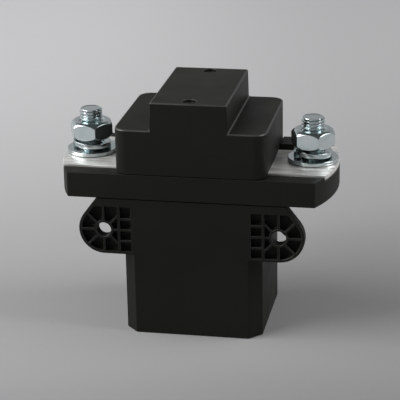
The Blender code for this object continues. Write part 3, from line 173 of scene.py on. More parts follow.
def signed_volume(points: np.ndarray, triangles: np.ndarray) -> float:
    """Adds up a . (b x c) / 6 over the triangles, which is above zero where faces point outwards."""
    a, b, c = (points[triangles[:, k]] for k in range(3))
    return float(np.einsum("ij,ij->i", a, np.cross(b, c)).sum() / 6)


def skin(name: str, grid: np.ndarray, wrap_rows: bool = False) -> Mesh:
    """Makes a closed mesh from a grid of points whose last column joins the first.

    Args:
        name: name of the mesh.
        grid: points, shape (rows, columns, 3).
        wrap_rows: whether the last row joins the first; otherwise both end rows are closed by fans.

    Returns:
        The mesh, its faces pointing outwards.
    """
    rows, columns = grid.shape[:2]
    points = grid.reshape(-1, 3)
    quads = grid_faces(rows, columns, wrap_rows, True)
    fans = np.empty((0, 3), dtype=int)
    if not wrap_rows:
        rim = np.arange(columns)
        following = (rim + 1) % columns
        first, far = len(points), (rows - 1) * columns
        points = np.concatenate([points, grid[0].mean(axis=0)[None], grid[-1].mean(axis=0)[None]])
        fans = np.concatenate([joined(first, following, rim), joined(first + 1, far + rim, far + following)])
    middle = points.mean(axis=0)
    triangles = np.concatenate([quads[:, [0, 1, 2]], quads[:, [0, 2, 3]], fans])
    if signed_volume(points - middle, triangles) < 0:
        quads, fans = quads[:, ::-1], fans[:, ::-1]
    mesh = bpy.data.meshes.new(name)
    mesh.from_pydata(points.tolist(), [], quads.tolist() + fans.tolist())
    mesh.update()
    return mesh


def thread_radius(angles: np.ndarray, heights: np.ndarray, crest: float, depth: float, pitch: float) -> np.ndarray:
    """Gives the radius of a right-hand thread at each angle and height.

    The phase is height / pitch - angle / turn. Over one phase the form holds the crest, falls along a flank
    to the root, holds it and climbs back; the corners are eased by s^2 (3 - 2s).

    Args:
        angles: shape (columns,).
        heights: shape (rows,).
        crest: radius over the crests.
        depth: how deep the roots lie below the crests.
        pitch: rise of one turn.

    Returns:
        Radii, shape (rows, columns).
    """
    phase = (heights[:, None] / pitch - angles[None, :] / FULL_TURN) % 1.0
    distance_from_crest = np.abs(phase - 0.5) * 2
    crest_share, root_share = 0.20, 0.16
    fall = np.clip((distance_from_crest - crest_share) / (1 - crest_share - root_share), 0.0, 1.0)
    return crest - depth * (0.5 * fall + 0.5 * fall ** 2 * (3 - 2 * fall))


def hexagon_radius(angles: np.ndarray, width: float, turn: float, edge: float) -> np.ndarray:
    """Gives the radius of a hexagon with round corners at each angle.

    On a flat it is a / cos(angle off the flat). Past the point where the corner's circle touches the flat it is
    c cos(p) + sqrt(edge^2 - c^2 sin^2(p)), with p the angle off the corner and c the circle's distance.

    Args:
        angles: shape (columns,).
        width: width across flats.
        turn: angle of one corner.
        edge: radius of the corners.

    Returns:
        Radii, shape (columns,).
    """
    flat = width / 2
    corner_distance = (flat - edge) / math.cos(math.pi / 6)
    off_corner = (angles - turn + math.pi / 6) % (math.pi / 3) - math.pi / 6
    off_flat = math.pi / 6 - np.abs(off_corner)
    touch = math.pi / 6 - math.atan2(corner_distance / 2, flat)
    inside = np.clip(edge ** 2 - (corner_distance * np.sin(off_corner)) ** 2, 0.0, None)
    on_corner = corner_distance * np.cos(off_corner) + np.sqrt(inside)
    return np.where(np.abs(off_corner) < touch, on_corner, flat / np.cos(off_flat))


def hexagon_angles(turn: float, edge_steps: int = 8, flat_steps: int = 12, corner_share: float = 0.14) -> np.ndarray:
    """Spreads angles round a hexagon, closer together at its six corners."""
    half = math.pi / 6
    near = np.linspace(-corner_share * half, corner_share * half, edge_steps, endpoint=False)
    along = np.linspace(corner_share * half, (2 - corner_share) * half, flat_steps, endpoint=False)
    sector = np.concatenate([near, along])
    return turn + (np.arange(6)[:, None] * math.pi / 3 + sector[None, :]).ravel()


# Nodes


class Board:
    """Places and wires the nodes of one tree."""

    def __init__(self, tree: NodeTree) -> None:
        """Keeps the tree that the nodes go to."""
        self.tree = tree

    def feed(self, socket: NodeSocket, value: object) -> None:
        """Wires another node's output to a socket, or sets the socket to a plain value."""
        if isinstance(value, NodeSocket):
            self.tree.links.new(value, socket)
        else:
            socket.default_value = value

    def add(self, kind: str, inputs: dict[str | int, object] | None = None, **settings: object) -> Node:
        """Adds one node.

        Args:
            kind: Blender's type name of the node.
            inputs: what each input holds: a value, or another node's output that is wired to it.
            settings: properties of the node.

        Returns:
            The node.
        """
        node = self.tree.nodes.new(kind)
        for name, value in settings.items():
            setattr(node, name, value)
        for key, value in (inputs or {}).items():
            self.feed(node.inputs[key], value)
        return node

    def math(self, operation: str, *values: object) -> NodeSocket:
        """Adds a Math node and gives its result."""
        return self.add("ShaderNodeMath", dict(enumerate(values)), operation=operation).outputs[0]

    def remap(self, value: NodeSocket, low: float, high: float, to_low: float = 0.0,
              to_high: float = 1.0, curve: str = "SMOOTHSTEP") -> NodeSocket:
        """Maps a range of a value onto another range, by an eased or a LINEAR curve, and gives the result."""
        ranges = {"Value": value, "From Min": low, "From Max": high, "To Min": to_low, "To Max": to_high}
        return self.add("ShaderNodeMapRange", ranges, interpolation_type=curve).outputs["Result"]

    def noise(self, vector: NodeSocket, per_metre: object, detail: float = 2.0, roughness: float = 0.5) -> NodeSocket:
        """Adds a Noise texture and gives its value."""
        inputs = {"Vector": vector, "Scale": per_metre, "Detail": detail, "Roughness": roughness}
        return self.add("ShaderNodeTexNoise", inputs).outputs["Fac"]

    def turned(self, vector: NodeSocket, degrees: float) -> NodeSocket:
        """Turns a vector about z and gives the result."""
        inputs = {"Vector": vector, "Rotation": (0, 0, math.radians(degrees))}
        return self.add("ShaderNodeMapping", inputs).outputs[0]

    def strokes(self, vector: NodeSocket, degrees: float, along: float, across: float, detail: float = 2.0,
                roughness: float = 0.6) -> NodeSocket:
        """Adds a Noise texture drawn out into strokes at an angle from x, and gives its value."""
        inputs = {"Vector": self.turned(vector, degrees), "Scale": (along, across, across)}
        return self.noise(self.add("ShaderNodeMapping", inputs).outputs[0], 1.0, detail, roughness)

    def colour_mix(self, share: object, first: object, second: object) -> NodeSocket:
        """Mixes two colours and gives the result."""
        return self.add("ShaderNodeMix", {0: share, 6: first, 7: second}, data_type="RGBA").outputs[2]

    def group(self, draw: Callable[["Board", NodeOutputs], dict[str, NodeSocket]], **inputs: object) -> NodeOutputs:
        """Places a shared group of nodes, which is made on first use.

        Args:
            draw: adds the group's nodes to a board, from the sockets that bring its inputs in, and gives the
                socket of each output by its name.
            inputs: what each input holds: another node's vector, or a number.

        Returns:
            The placed group's outputs.
        """
        tree = bpy.data.node_groups.get(draw.__name__)
        if tree is None:
            tree = bpy.data.node_groups.new(draw.__name__, "ShaderNodeTree")
            for name, value in inputs.items():
                kind = "NodeSocketVector" if isinstance(value, NodeSocket) else "NodeSocketFloat"
                tree.interface.new_socket(name, in_out="INPUT", socket_type=kind)
            drawn = draw(Board(tree), tree.nodes.new("NodeGroupInput").outputs)
            for name in drawn:
                tree.interface.new_socket(name, in_out="OUTPUT", socket_type="NodeSocketFloat")
            leave = tree.nodes.new("NodeGroupOutput")
            for name, socket in drawn.items():
                tree.links.new(socket, leave.inputs[name])
        return self.add("ShaderNodeGroup", inputs, node_tree=tree).outputs


def blank_material(name: str) -> tuple[Material, Board, Node]:
    """Makes a material, and gives it with the board for its nodes and its shader."""
    made = bpy.data.materials.new(name)
    made.use_nodes = True
    return made, Board(made.node_tree), made.node_tree.nodes["Principled BSDF"]


def moulded_grain(board: Board, given: NodeOutputs) -> dict[str, NodeSocket]:
    """Draws the eroded grain of a mould: fine pits over a slow waviness. Gives height and tone."""
    place, per_metre = given["Vector"], board.math("DIVIDE", 1.0, given["Grain"])
    pits = board.noise(place, per_metre, detail=3.0, roughness=0.6)
    slow = board.noise(place, board.math("MULTIPLY", per_metre, 0.02))
    cloud = board.noise(place, board.math("MULTIPLY", per_metre, 0.006), detail=3.0, roughness=0.6)
    height = board.math("ADD", board.math("MULTIPLY", pits, 0.25), board.math("MULTIPLY", slow, 0.75))
    return {"Height": height, "Tone": board.remap(cloud, 0.3, 0.7)}


def hairline_scratches(board: Board, given: NodeOutputs) -> dict[str, NodeSocket]:
    """Draws rubbed metal: close lines and broad bands along x, and single scratches at two angles across them."""
    place = given["Vector"]
    close = board.math("MULTIPLY", board.strokes(place, 4, along=90, across=5200), given["Spread"])
    single = board.math("MAXIMUM", board.remap(board.strokes(place, 28, along=26, across=1500), 0.70, 0.75),
                        board.remap(board.strokes(place, -37, along=22, across=1300), 0.72, 0.77))
    height = board.math("SUBTRACT", close, board.math("MULTIPLY", single, 0.6))
    bands = board.strokes(place, 0, along=50, across=520, detail=3.0, roughness=0.65)
    return {"Height": height, "Mask": single, "Bands": board.remap(bands, 0.36, 0.66)}


def soft_mottle(board: Board, given: NodeOutputs) -> dict[str, NodeSocket]:
    """Draws a slow cloudy variation from 0 to 1, and finer specks."""
    place, per_metre = given["Vector"], board.math("DIVIDE", 1.0, given["Size"])
    cloud = board.noise(place, per_metre, detail=3.0, roughness=0.55)
    specks = board.noise(place, board.math("MULTIPLY", per_metre, 14.0), roughness=0.6)
    return {"Cloud": board.remap(cloud, 0.28, 0.72), "Specks": board.remap(specks, 0.35, 0.75)}


def settled_dust(board: Board, given: NodeOutputs) -> dict[str, NodeSocket]:
    """Draws a mask of thin dust: cloudy, and only on faces that look up."""
    up = board.add("ShaderNodeSeparateXYZ", {0: given["Normal"]}).outputs["Z"]
    cloud = board.noise(given["Vector"], 90.0, detail=4.0, roughness=0.65)
    lying = board.math("MULTIPLY", board.remap(up, 0.55, 0.98), board.remap(cloud, 0.35, 0.75))
    return {"Mask": board.math("MULTIPLY", lying, given["Amount"])}


@dataclass(frozen=True)
class Finish:
    """What every finish shares: a name, a slot that is not used, two tones and a roughness."""

    name: str
    slot: str
    tone: Triple
    second_tone: Triple
    roughness: float
    roughness_spread: float
    metallic: float = 0.0

    def material(self) -> Material:
        """Gives the finish's material, made on first use."""
        made = bpy.data.materials.get(self.name)
        if made is None:
            made, board, shader = blank_material(self.name)
            made.diffuse_color = (*self.tone, 1.0)
            shader.inputs["Metallic"].default_value = self.metallic
            self.dress(board, shader, board.add("ShaderNodeTexCoord").outputs["Object"])
        return made

    def dress(self, board: Board, shader: Node, place: NodeSocket) -> None:
        """Draws the finish's own patterns at a place and wires them to the shader."""
        raise NotImplementedError

    def tones(self, board: Board, share: NodeSocket) -> NodeSocket:
        """Mixes the two tones by a share."""
        return board.colour_mix(share, (*self.tone, 1), (*self.second_tone, 1))

    def wire(self, board: Board, shader: Node, colour: NodeSocket,
             dull: NodeSocket, height: NodeSocket, depth: float) -> None:
        """Wires colour, roughness and bump to the shader.

        Args:
            board: the material's board.
            shader: the material's shader.
            colour: the base colour.
            dull: share of the roughness spread at each place.
            height: height of the relief, from 0 to 1.
            depth: what a height of 1 stands for.
        """
        rough = board.remap(dull, 0.0, 1.0, self.roughness, self.roughness + self.roughness_spread)
        bump = board.add("ShaderNodeBump", {"Strength": 1.0, "Distance": depth, "Height": height}).outputs[0]
        for name, source in (("Base Color", colour), ("Roughness", rough), ("Normal", bump)):
            board.feed(shader.inputs[name], source)


@dataclass(frozen=True)
class Mottled(Finish):
    """Bare metal, plating or enamel: a slow drift between its two tones and a slightly uneven gloss."""

    drift: float = 0.012
    ripple: float = 0.00001

    def dress(self, board: Board, shader: Node, place: NodeSocket) -> None:
        """Wires the clouds to the colour, and the specks to gloss and bump."""
        mottle = board.group(soft_mottle, Vector=place, Size=self.drift)
        specks = mottle["Specks"]
        self.wire(board, shader, self.tones(board, mottle["Cloud"]), specks, specks, self.ripple)


@dataclass(frozen=True)
class Moulding(Finish):
    """A grained moulding with a little dust on what faces up."""

    grain: float = 0.00032
    grain_depth: float = 0.00001
    specular: float = 0.16
    dust: float = 0.06
    dust_tone: Triple = (0.07, 0.07, 0.065)

    def dress(self, board: Board, shader: Node, place: NodeSocket) -> None:
        """Wires the grain to colour, roughness and bump, with the dust over the colour."""
        board.feed(shader.inputs["Specular IOR Level"], self.specular)
        grain = board.group(moulded_grain, Vector=place, Grain=self.grain)
        looks_up = board.add("ShaderNodeNewGeometry").outputs["Normal"]
        dust = board.group(settled_dust, Vector=place, Normal=looks_up, Amount=self.dust)
        colour = board.colour_mix(dust["Mask"], self.tones(board, grain["Tone"]), (*self.dust_tone, 1))
        self.wire(board, shader, colour, grain["Tone"], grain["Height"], self.grain_depth)


@dataclass(frozen=True)
class RubbedPlate(Finish):
    """A bar rubbed along its length, with single scratches across it."""

    scratch_tone: Triple = (0.34, 0.33, 0.31)
    scratch_share: float = 0.75
    line_share: float = 0.5
    line_depth: float = 0.000020

    def dress(self, board: Board, shader: Node, place: NodeSocket) -> None:
        """Wires the bands to tone and roughness, the scratches to colour, and both kinds of line to the bump."""
        lines = board.group(hairline_scratches, Vector=place, Spread=self.line_share)
        marked = board.math("MULTIPLY", lines["Mask"], self.scratch_share)
        colour = board.colour_mix(marked, self.tones(board, lines["Bands"]), (*self.scratch_tone, 1))
        self.wire(board, shader, colour, lines["Bands"], lines["Height"], self.line_depth)


BLACK_MOULDING = Moulding("black moulded polyester", "black_moulding", (0.0076, 0.0076, 0.0057),
                          (0.0100, 0.0100, 0.0077), 0.48, 0.12)
# The edge finish: a tone several times lighter than the moulding, a painted highlight on the roundings and leaning
# rims where light catches them.
PAINTED_EDGE_HIGHLIGHT = Moulding("moulded edge with painted highlight", "black_moulding", (0.011, 0.011, 0.010), (0.046, 0.046, 0.043), 0.36,
                       0.10, specular=0.45)
ZINC = Mottled("blue-white zinc", "zinc_steel", (0.54, 0.625, 0.635), (0.64, 0.69, 0.70), 0.09, 0.07, 0.985,
               drift=0.006, ripple=0.000008)
TIN = RubbedPlate("rubbed tin plating", "tinned_plate", (0.64, 0.63, 0.605), (0.95, 0.94, 0.91), 0.32, 0.16, 0.64)
BLACK_OXIDE = Mottled("black oxide", "black_screw", (0.030, 0.030, 0.031), (0.045, 0.044, 0.043), 0.34, 0.16, 0.8,
                      drift=0.006, ripple=0.000008)
IRON = Mottled("soft iron", "soft_iron", (0.42, 0.43, 0.44), (0.48, 0.485, 0.49), 0.34, 0.16, 1.0)
COPPER = RubbedPlate("bare copper", "copper_bar", (0.78, 0.42, 0.27), (0.83, 0.49, 0.34), 0.26, 0.14, 1.0,
                     scratch_tone=(0.55, 0.26, 0.15))
SILVER = Mottled("silver contact alloy", "silver_alloy", (0.78, 0.77, 0.74), (0.84, 0.83, 0.80), 0.22, 0.18, 1.0)
BRASS = Mottled("plain brass", "brass_part", (0.76, 0.58, 0.28), (0.81, 0.66, 0.37), 0.24, 0.14, 1.0)
SPRING_STEEL = Mottled("bright spring steel", "spring_steel", (0.47, 0.48, 0.49), (0.54, 0.545, 0.55), 0.24, 0.12, 1.0)
NYLON = Moulding("natural glass-filled nylon", "natural_nylon", (0.76, 0.73, 0.64), (0.83, 0.81, 0.74), 0.46, 0.12,
                 grain=0.0005, grain_depth=0.00002, specular=0.5, dust=0.0)
ENAMEL = Mottled("enamelled wire", "enamelled_wire", (0.50, 0.20, 0.075), (0.60, 0.28, 0.12), 0.26, 0.14, 0.35)
FERRITE = Moulding("sintered ferrite", "ferrite_magnet", (0.085, 0.085, 0.095), (0.12, 0.12, 0.13), 0.55, 0.20, 0.2,
                   grain=0.0004, grain_depth=0.00002, specular=0.5, dust=0.0)
RUBBER = Moulding("matt black rubber", "rubber_part", (0.016, 0.016, 0.016), (0.026, 0.026, 0.025), 0.72, 0.15,
                  grain=0.0006, grain_depth=0.00003, specular=0.3, dust=0.0)


# Pieces


def add_object(name: str, data: ID) -> Object:
    """Adds an object with its data to the scene."""
    made = bpy.data.objects.new(name, data)
    bpy.context.scene.collection.objects.link(made)
    return made


def add_piece(mesh: Mesh, finish: Finish, replaced: Sequence[str], sharp_degrees: float = 38.0,
              body: str | None = HOUSING_BODY) -> Object:
    """Adds a mesh to the model as a shaded piece that stands for CAD nodes.

    Args:
        mesh: the piece's mesh, whose name the piece takes.
        finish: what it is dressed in.
        replaced: the nodes that it stands for.
        sharp_degrees: edges that turn by more stay sharp.
        body: the body that it rides on, or None for a piece that rides on no body.

    Returns:
        The object.
    """
    piece = add_object(mesh.name, mesh)
    mesh.materials.clear()
    mesh.materials.append(finish.material())
    mesh.shade_smooth()
    mesh.set_sharp_from_angle(angle=math.radians(sharp_degrees))
    piece.modifiers.new("even shading", "WEIGHTED_NORMAL").keep_sharp = True
    if body:
        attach(piece, body)
    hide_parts(*replaced)
    LOG.info("%s: %d faces, for %s", mesh.name, len(mesh.polygons), ", ".join(replaced))
    return piece


def dress_node(name: str, finish: Finish) -> None:
    """Gives a CAD node its finish."""
    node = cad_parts[name]
    if not node.material_slots:
        node.data.materials.append(finish.material())
    for slot in node.material_slots:
        slot.material = finish.material()
    LOG.info("%s: dressed in %s", name, finish.name)


def merged_copy(node_name: str, name: str, flat_degrees: float = 0.4, weld: float = 1e-6) -> Mesh:
    """Copies a node's loose triangles into one mesh, with shared corners and whole flat faces.

    Args:
        node_name: the CAD node.
        name: name of the copy.
        flat_degrees: neighbouring faces that turn by less become one.
        weld: corners that lie closer become one.

    Returns:
        The copy.
    """
    cells = bmesh.new()
    cells.from_mesh(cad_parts[node_name].data)
    bmesh.ops.remove_doubles(cells, verts=cells.verts, dist=weld)
    bmesh.ops.dissolve_limit(cells, angle_limit=math.radians(flat_degrees), verts=cells.verts, edges=cells.edges)
    mesh = bpy.data.meshes.new(name)
    cells.to_mesh(mesh)
    cells.free()
    return mesh


@dataclass
class Casing:
    """The three black mouldings: the coil housing with its ears, the deck and the stepped cover."""

    edge: float = 0.00022
    housing_edge: float = 0.00010
    edge_degrees: float = 48.0
    finish: Moulding = BLACK_MOULDING
    highlight_finish: Moulding = PAINTED_EDGE_HIGHLIGHT
    rim_lean: Pair = (0.20, 0.97)

    def build(self) -> None:
        """Makes a merged copy of each moulding with softened edges, lighter as a painted highlight; on the cover the
        leaning rims get the painted highlight too.
        """
        for node_name, name, edge, painted_rim_highlight in (("lower_housing", "coil_housing", self.housing_edge, False),
                                                   ("terminal_deck", "deck_moulding", self.edge, False),
                                                   ("arc_cover", "stepped_cover", self.edge, True)):
            piece = add_piece(merged_copy(node_name, name), self.finish, [node_name])
            self.soften(piece, edge, painted_rim_highlight)

    def soften(self, piece: Object, width: float, painted_rim_highlight: bool) -> None:
        """Rounds the piece's sharp edges ahead of its shading, and gives what the roundings make a lighter tone, a
        painted highlight.

        Args:
            piece: the moulding.
            width: how far the roundings reach.
            painted_rim_highlight: whether faces that lean, between level and upright, take the painted highlight too.
        """
        # The second material paints a highlight on the roundings and, where asked, on the leaning rims.
        piece.data.materials.append(self.highlight_finish.material())
        if painted_rim_highlight:
            for face in piece.data.polygons:
                if self.rim_lean[0] < face.normal.z < self.rim_lean[1]:
                    face.material_index = 1
        bevel = piece.modifiers.new("moulded edges", "BEVEL")
        bevel.width, bevel.segments, bevel.material = width, 2, 1
        bevel.limit_method, bevel.angle_limit = "ANGLE", math.radians(self.edge_degrees)
        bevel.use_clamp_overlap = False
        piece.modifiers.move(len(piece.modifiers) - 1, 0)


@dataclass
class Terminal:
    """One terminal: plate, stud, flat washer, split spring washer and nut."""

    hand: Hand
    nut_turn: float
    split: float
    stud_radius: float = 0.0050
    stud_columns: int = 96
    pitch: float = 0.0015
    rows_per_pitch: int = 18
    thread_depth: float = 0.00088
    run_out: float = 0.0018
    neck: float = 0.0003
    tip: float = 0.0006
    tip_slope: float = 0.9
    dish: float = 0.00016
    head_width: float = 0.0160
    head_height: float = 0.0050
    head_blunt: float = 0.0006
    nut_width: float = 0.0170
    nut_bore: float = 0.00512
    nut_mouth: float = 0.0006
    nut_mouth_edge: float = 0.00008
    nut_face_share: float = 0.87
    nut_face_edge: float = 0.00010
    nut_wall_edge: float = 0.00012
    crown_rows: int = 6
    crown_slope: float = 0.30
    crown_curve: float = 235.0
    corner_edge: float = 0.00035
    washer_bore: float = 0.0053
    washer_columns: int = 112
    washer_edges: tuple[float, ...] = (0.00012, 0.00012, 0.00022, 0.00020)
    coil_radius: float = 0.0083
    coil_thickness: float = 0.0020
    coil_edge: float = 0.00018
    coil_rows: int = 97
    coil_sweep: float = math.radians(346.0)
    coil_slant: float = math.radians(22.0)
    coil_fall: float = 3.0
    plate_edge: float = 0.00030
    plate_end_points: int = 41
    plate_side_points: tuple[int, ...] = (9, 10, 12, 12, 16)
    deck_bulge: float = 0.0070
    key_corner: Pair = (0.0393, 0.0117)

    def __post_init__(self) -> None:
        """Finds the stud's axis."""
        self.axis = upright_axis(self.node("terminal_stud"))

    def node(self, word: str) -> str:
        """Gives the name of one of this terminal's nodes."""
        return f"{word}_{self.hand.value}"

    def build(self) -> None:
        """Makes the terminal's five pieces."""
        add_piece(self.stud(), ZINC, [self.node("terminal_stud")], sharp_degrees=30.0)
        for word, shape in (("hex_nut", self.nut), ("flat_washer", self.flat_washer),
                            ("spring_washer", self.spring_washer)):
            add_piece(shape(), ZINC, [self.node(word)])
        add_piece(self.plate(), TIN, [self.node("terminal_plate")])

    def stud(self) -> Mesh:
        """Makes the stud: one surface of angle and height.

        The radius is the head's hexagon below its top, then the thread's radius, and near the tip no more than
        a cone that narrows by the tip size. The tip's face is dished: each of its rings stands at a share of the
        radius and lies a share of the dish below the rim.
        """
        low, high = levels(self.node("terminal_stud"))
        head_top, blunt = low + self.head_height, self.head_blunt
        angles = whole_turn(self.stud_columns)
        head = hexagon_radius(angles, self.head_width, 0.0, self.corner_edge)
        neck = np.full_like(angles, self.stud_radius - self.neck)
        foot = np.stack([joined(radius, height) for radius, height in
                         ((head - blunt, low), (head, low + blunt / 2), (head, head_top - blunt / 4),
                          (head - blunt / 4, head_top), (neck, head_top))])
        heights = np.append(np.arange(head_top + self.run_out, high, self.pitch / self.rows_per_pitch), high)
        thread = thread_radius(angles, heights, self.stud_radius, self.thread_depth, self.pitch)
        cone = self.stud_radius - self.tip + (high - heights)[:, None] * self.tip_slope
        shank = joined(np.minimum(thread, cone), heights[:, None])
        face = np.stack([shank[-1] * (share, 1.0) - (0.0, dip * self.dish) for share, dip in
                         ((0.965, 0.0), (0.955, 0.0625), (0.89, 0.9), (0.86, 1.0), (0.5, 1.0), (0.1, 1.0))])
        return skin(self.node("threaded_stud"), revolve(np.concatenate([foot, shank, face]), angles, self.axis))

    def nut(self) -> Mesh:
        """Makes the nut: a closed profile at each angle.

        The wall stands at the hexagon's radius. Past the face circle each end falls by a slope times the
        distance plus a curve times its square, so the crease at the wall dips at the six corners.
        """
        low, high = levels(self.node("hex_nut"))
        angles = hexagon_angles(self.nut_turn)
        wall = hexagon_radius(angles, self.nut_width, self.nut_turn, self.corner_edge)
        face = self.nut_face_share * self.nut_width / 2
        past_face = np.linspace(0.0, 1.0, self.crown_rows)[:, None] * (wall - face)
        drop = self.crown_slope * past_face + self.crown_curve * past_face ** 2
        upper = [(face + past, high - fall) for past, fall in zip(past_face, drop)]
        lower = [(radius, low + high - height) for radius, height in upper]
        bore = np.full_like(angles, self.nut_bore)
        mouth = bore + self.nut_mouth
        ring = [(bore, low + self.nut_mouth), (mouth, low), *lower,
                *reversed(upper), (mouth, high), (bore, high - self.nut_mouth)]
        corners = np.stack([joined(*pair) for pair in ring])
        crown_edges = (self.nut_face_edge, *[0.0] * (self.crown_rows - 2), self.nut_wall_edge)
        edges = (0.0, self.nut_mouth_edge, *crown_edges, *reversed(crown_edges), self.nut_mouth_edge, 0.0)
        return skin(self.node("nut"), revolve(rounded_profile(corners, edges), angles, self.axis), wrap_rows=True)

    def flat_washer(self) -> Mesh:
        """Makes the flat washer: a punched ring, rounder at its top rim than at its bottom one."""
        box_low, box_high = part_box(self.node("flat_washer"))
        low, high, radius = box_low[2], box_high[2], (box_high[0] - box_low[0]) / 2
        corners = same_all_round([(self.washer_bore, low), (radius, low), (radius, high), (self.washer_bore, high)],
                                 self.washer_columns)
        profile = rounded_profile(corners, self.washer_edges)
        points = revolve(profile, whole_turn(self.washer_columns), self.axis)
        return skin(self.node("plain_washer"), points, wrap_rows=True)

    def spring_washer(self) -> Mesh:
        """Makes the split washer: a rounded square carried counter-clockwise round the stud, falling as it goes.

        With h the height in the section over its thickness and s the share of the sweep, a point has turned
        t = s sweep + (1 - h) slant past the high end. It stands at the split's angle less the slant plus t, and
        its foot is (1 - t / (sweep + slant))^fall of the set above the low end.
        """
        low, high = levels(self.node("spring_washer"))
        inner, outer, thickness = self.washer_bore, self.coil_radius, self.coil_thickness
        corners = np.array([(inner, 0.0), (outer, 0.0), (outer, thickness), (inner, thickness)])
        section = rounded_profile(corners[:, None], (self.coil_edge,) * len(corners), steps=3)[:, 0]
        radius, level = section[None, :, 0], section[None, :, 1]
        share = np.linspace(0.0, 1.0, self.coil_rows)[:, None]
        turned = share * self.coil_sweep + (1 - level / thickness) * self.coil_slant
        left_over = np.clip(1 - turned / (self.coil_sweep + self.coil_slant), 0.0, 1.0)
        height = low + (high - low - thickness) * left_over ** self.coil_fall + level
        angle = self.split - self.coil_slant + turned
        return skin(self.node("split_washer"), revolve(joined(radius, height), angle, self.axis))

    def plate(self) -> Mesh:
        """Makes the plate: rings of points that run from the stud's hole to the outline and back.

        Every column follows one ray from the hole's axis to the outline, which the whole plate lies in sight
        of, and the rim is rounded by insetting the outline along its own normals.
        """
        low, high = levels(self.node("terminal_plate"))
        outline = self.plate_outline()
        along = unit(np.roll(outline, -1, axis=0) - np.roll(outline, 1, axis=0))
        outward = joined(along[:, 1], -along[:, 0])
        hole = np.array(self.axis) + unit(outline - np.array(self.axis)) * self.washer_bore
        edge, eased = self.plate_edge, 0.3 * self.plate_edge
        inset, middle = outline - outward * edge, outline - outward * eased
        rings = [(hole, low), (inset, low), (middle, low + eased), (outline, low + edge), (outline, high - edge),
                 (middle, high - eased), (inset, high), (inset - outward * edge, high), (hole, high)]
        grid = np.stack([joined(*ring.T, level) for ring, level in rings])
        return skin(self.node("plate"), grid, wrap_rows=True)

    def plate_outline(self) -> np.ndarray:
        """Gives the plate's outline, counter-clockwise.

        The end follows the deck's end arc, and the back inner corner is notched round the deck's key.
        """
        low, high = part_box(self.node("terminal_plate"))
        inner, reach = sorted((abs(low[0]), abs(high[0])))
        half = high[1]
        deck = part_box("terminal_deck")[1]
        arc_x = deck[0] - (deck[1] ** 2 + self.deck_bulge ** 2) / (2 * self.deck_bulge)
        key_x, key_y = self.key_corner
        depth = np.linspace(-half, half, self.plate_end_points)
        end = joined(arc_x + np.sqrt((reach - arc_x) ** 2 - depth ** 2), depth)
        stops = [end[-1], (key_x, half), (key_x, key_y), (inner, key_y), (inner, -half), end[0]]
        sides = [np.linspace(start, finish, count)[1:] for start, finish, count in
                 zip(stops, stops[1:], self.plate_side_points)]
        outline = np.concatenate([end, *sides])[:-1]
        return outline if self.hand is Hand.RIGHT else (outline * (-1.0, 1.0))[::-1]


@dataclass
class CoverScrew:
    """One long cover screw with a cross recess in its head and a thread at its end."""

    end: End
    columns: int = 64
    head_height: float = 0.0020
    head_radius: float = 0.0026
    head_crown: float = 0.0007
    head_rows: int = 40
    shank_radius: float = 0.0015
    pitch: float = 0.0005
    rows_per_pitch: int = 10
    thread_length: float = 0.0140
    thread_depth: float = 0.0003
    point_share: float = 0.6
    recess_arm: float = 0.0017
    recess_width: float = 0.00075
    recess_depth: float = 0.0011
    recess_ease: float = 0.00012

    def build(self) -> None:
        """Makes the screw in place of its node."""
        name = f"cover_screw_{self.end.value}"
        add_piece(self.screw(name), BLACK_OXIDE, [name], sharp_degrees=50.0)

    def screw(self, node_name: str) -> Mesh:
        """Makes the screw: threaded shank, plain shank, pan head and recess as one turned surface.

        The head's top lies a crown times the cube of the radius over the head's below its middle, less the
        drop of the recess.
        """
        low, high = levels(node_name)
        angles = whole_turn(self.columns)
        thread_top = low + self.thread_length
        heights = np.arange(low, thread_top, self.pitch / self.rows_per_pitch)
        radius = thread_radius(angles, heights, self.shank_radius, self.thread_depth, self.pitch)
        point = self.shank_radius * self.point_share + (heights - low)[:, None]
        thread = joined(np.minimum(radius, point), heights[:, None])
        seat = high - self.head_height
        side = same_all_round([(self.shank_radius, thread_top), (self.shank_radius, seat), (self.head_radius, seat),
                               (self.head_radius, high - self.head_crown)], self.columns)
        inward = self.head_radius * (1 - np.linspace(0.0, 1.0, self.head_rows)[1:, None])
        level = high - self.head_crown * (inward / self.head_radius) ** 3
        level = level - self.recess(inward * np.cos(angles), inward * np.sin(angles))
        profile = np.concatenate([thread, side, joined(inward, level)])
        return skin(f"{node_name}_m3", revolve(profile, angles, upright_axis(node_name)))

    def recess(self, x: np.ndarray, y: np.ndarray) -> np.ndarray:
        """Gives how far the top drops: the recess depth inside two crossed bars, eased at their sides, else 0."""
        bars = []
        for along, across in ((x, y), (y, x)):
            length = np.clip((self.recess_arm - np.abs(along)) / self.recess_ease, 0.0, 1.0)
            width = np.clip((self.recess_width / 2 - np.abs(across)) / self.recess_ease, 0.0, 1.0)
            bars.append(length * width)
        return self.recess_depth * np.maximum(*bars)


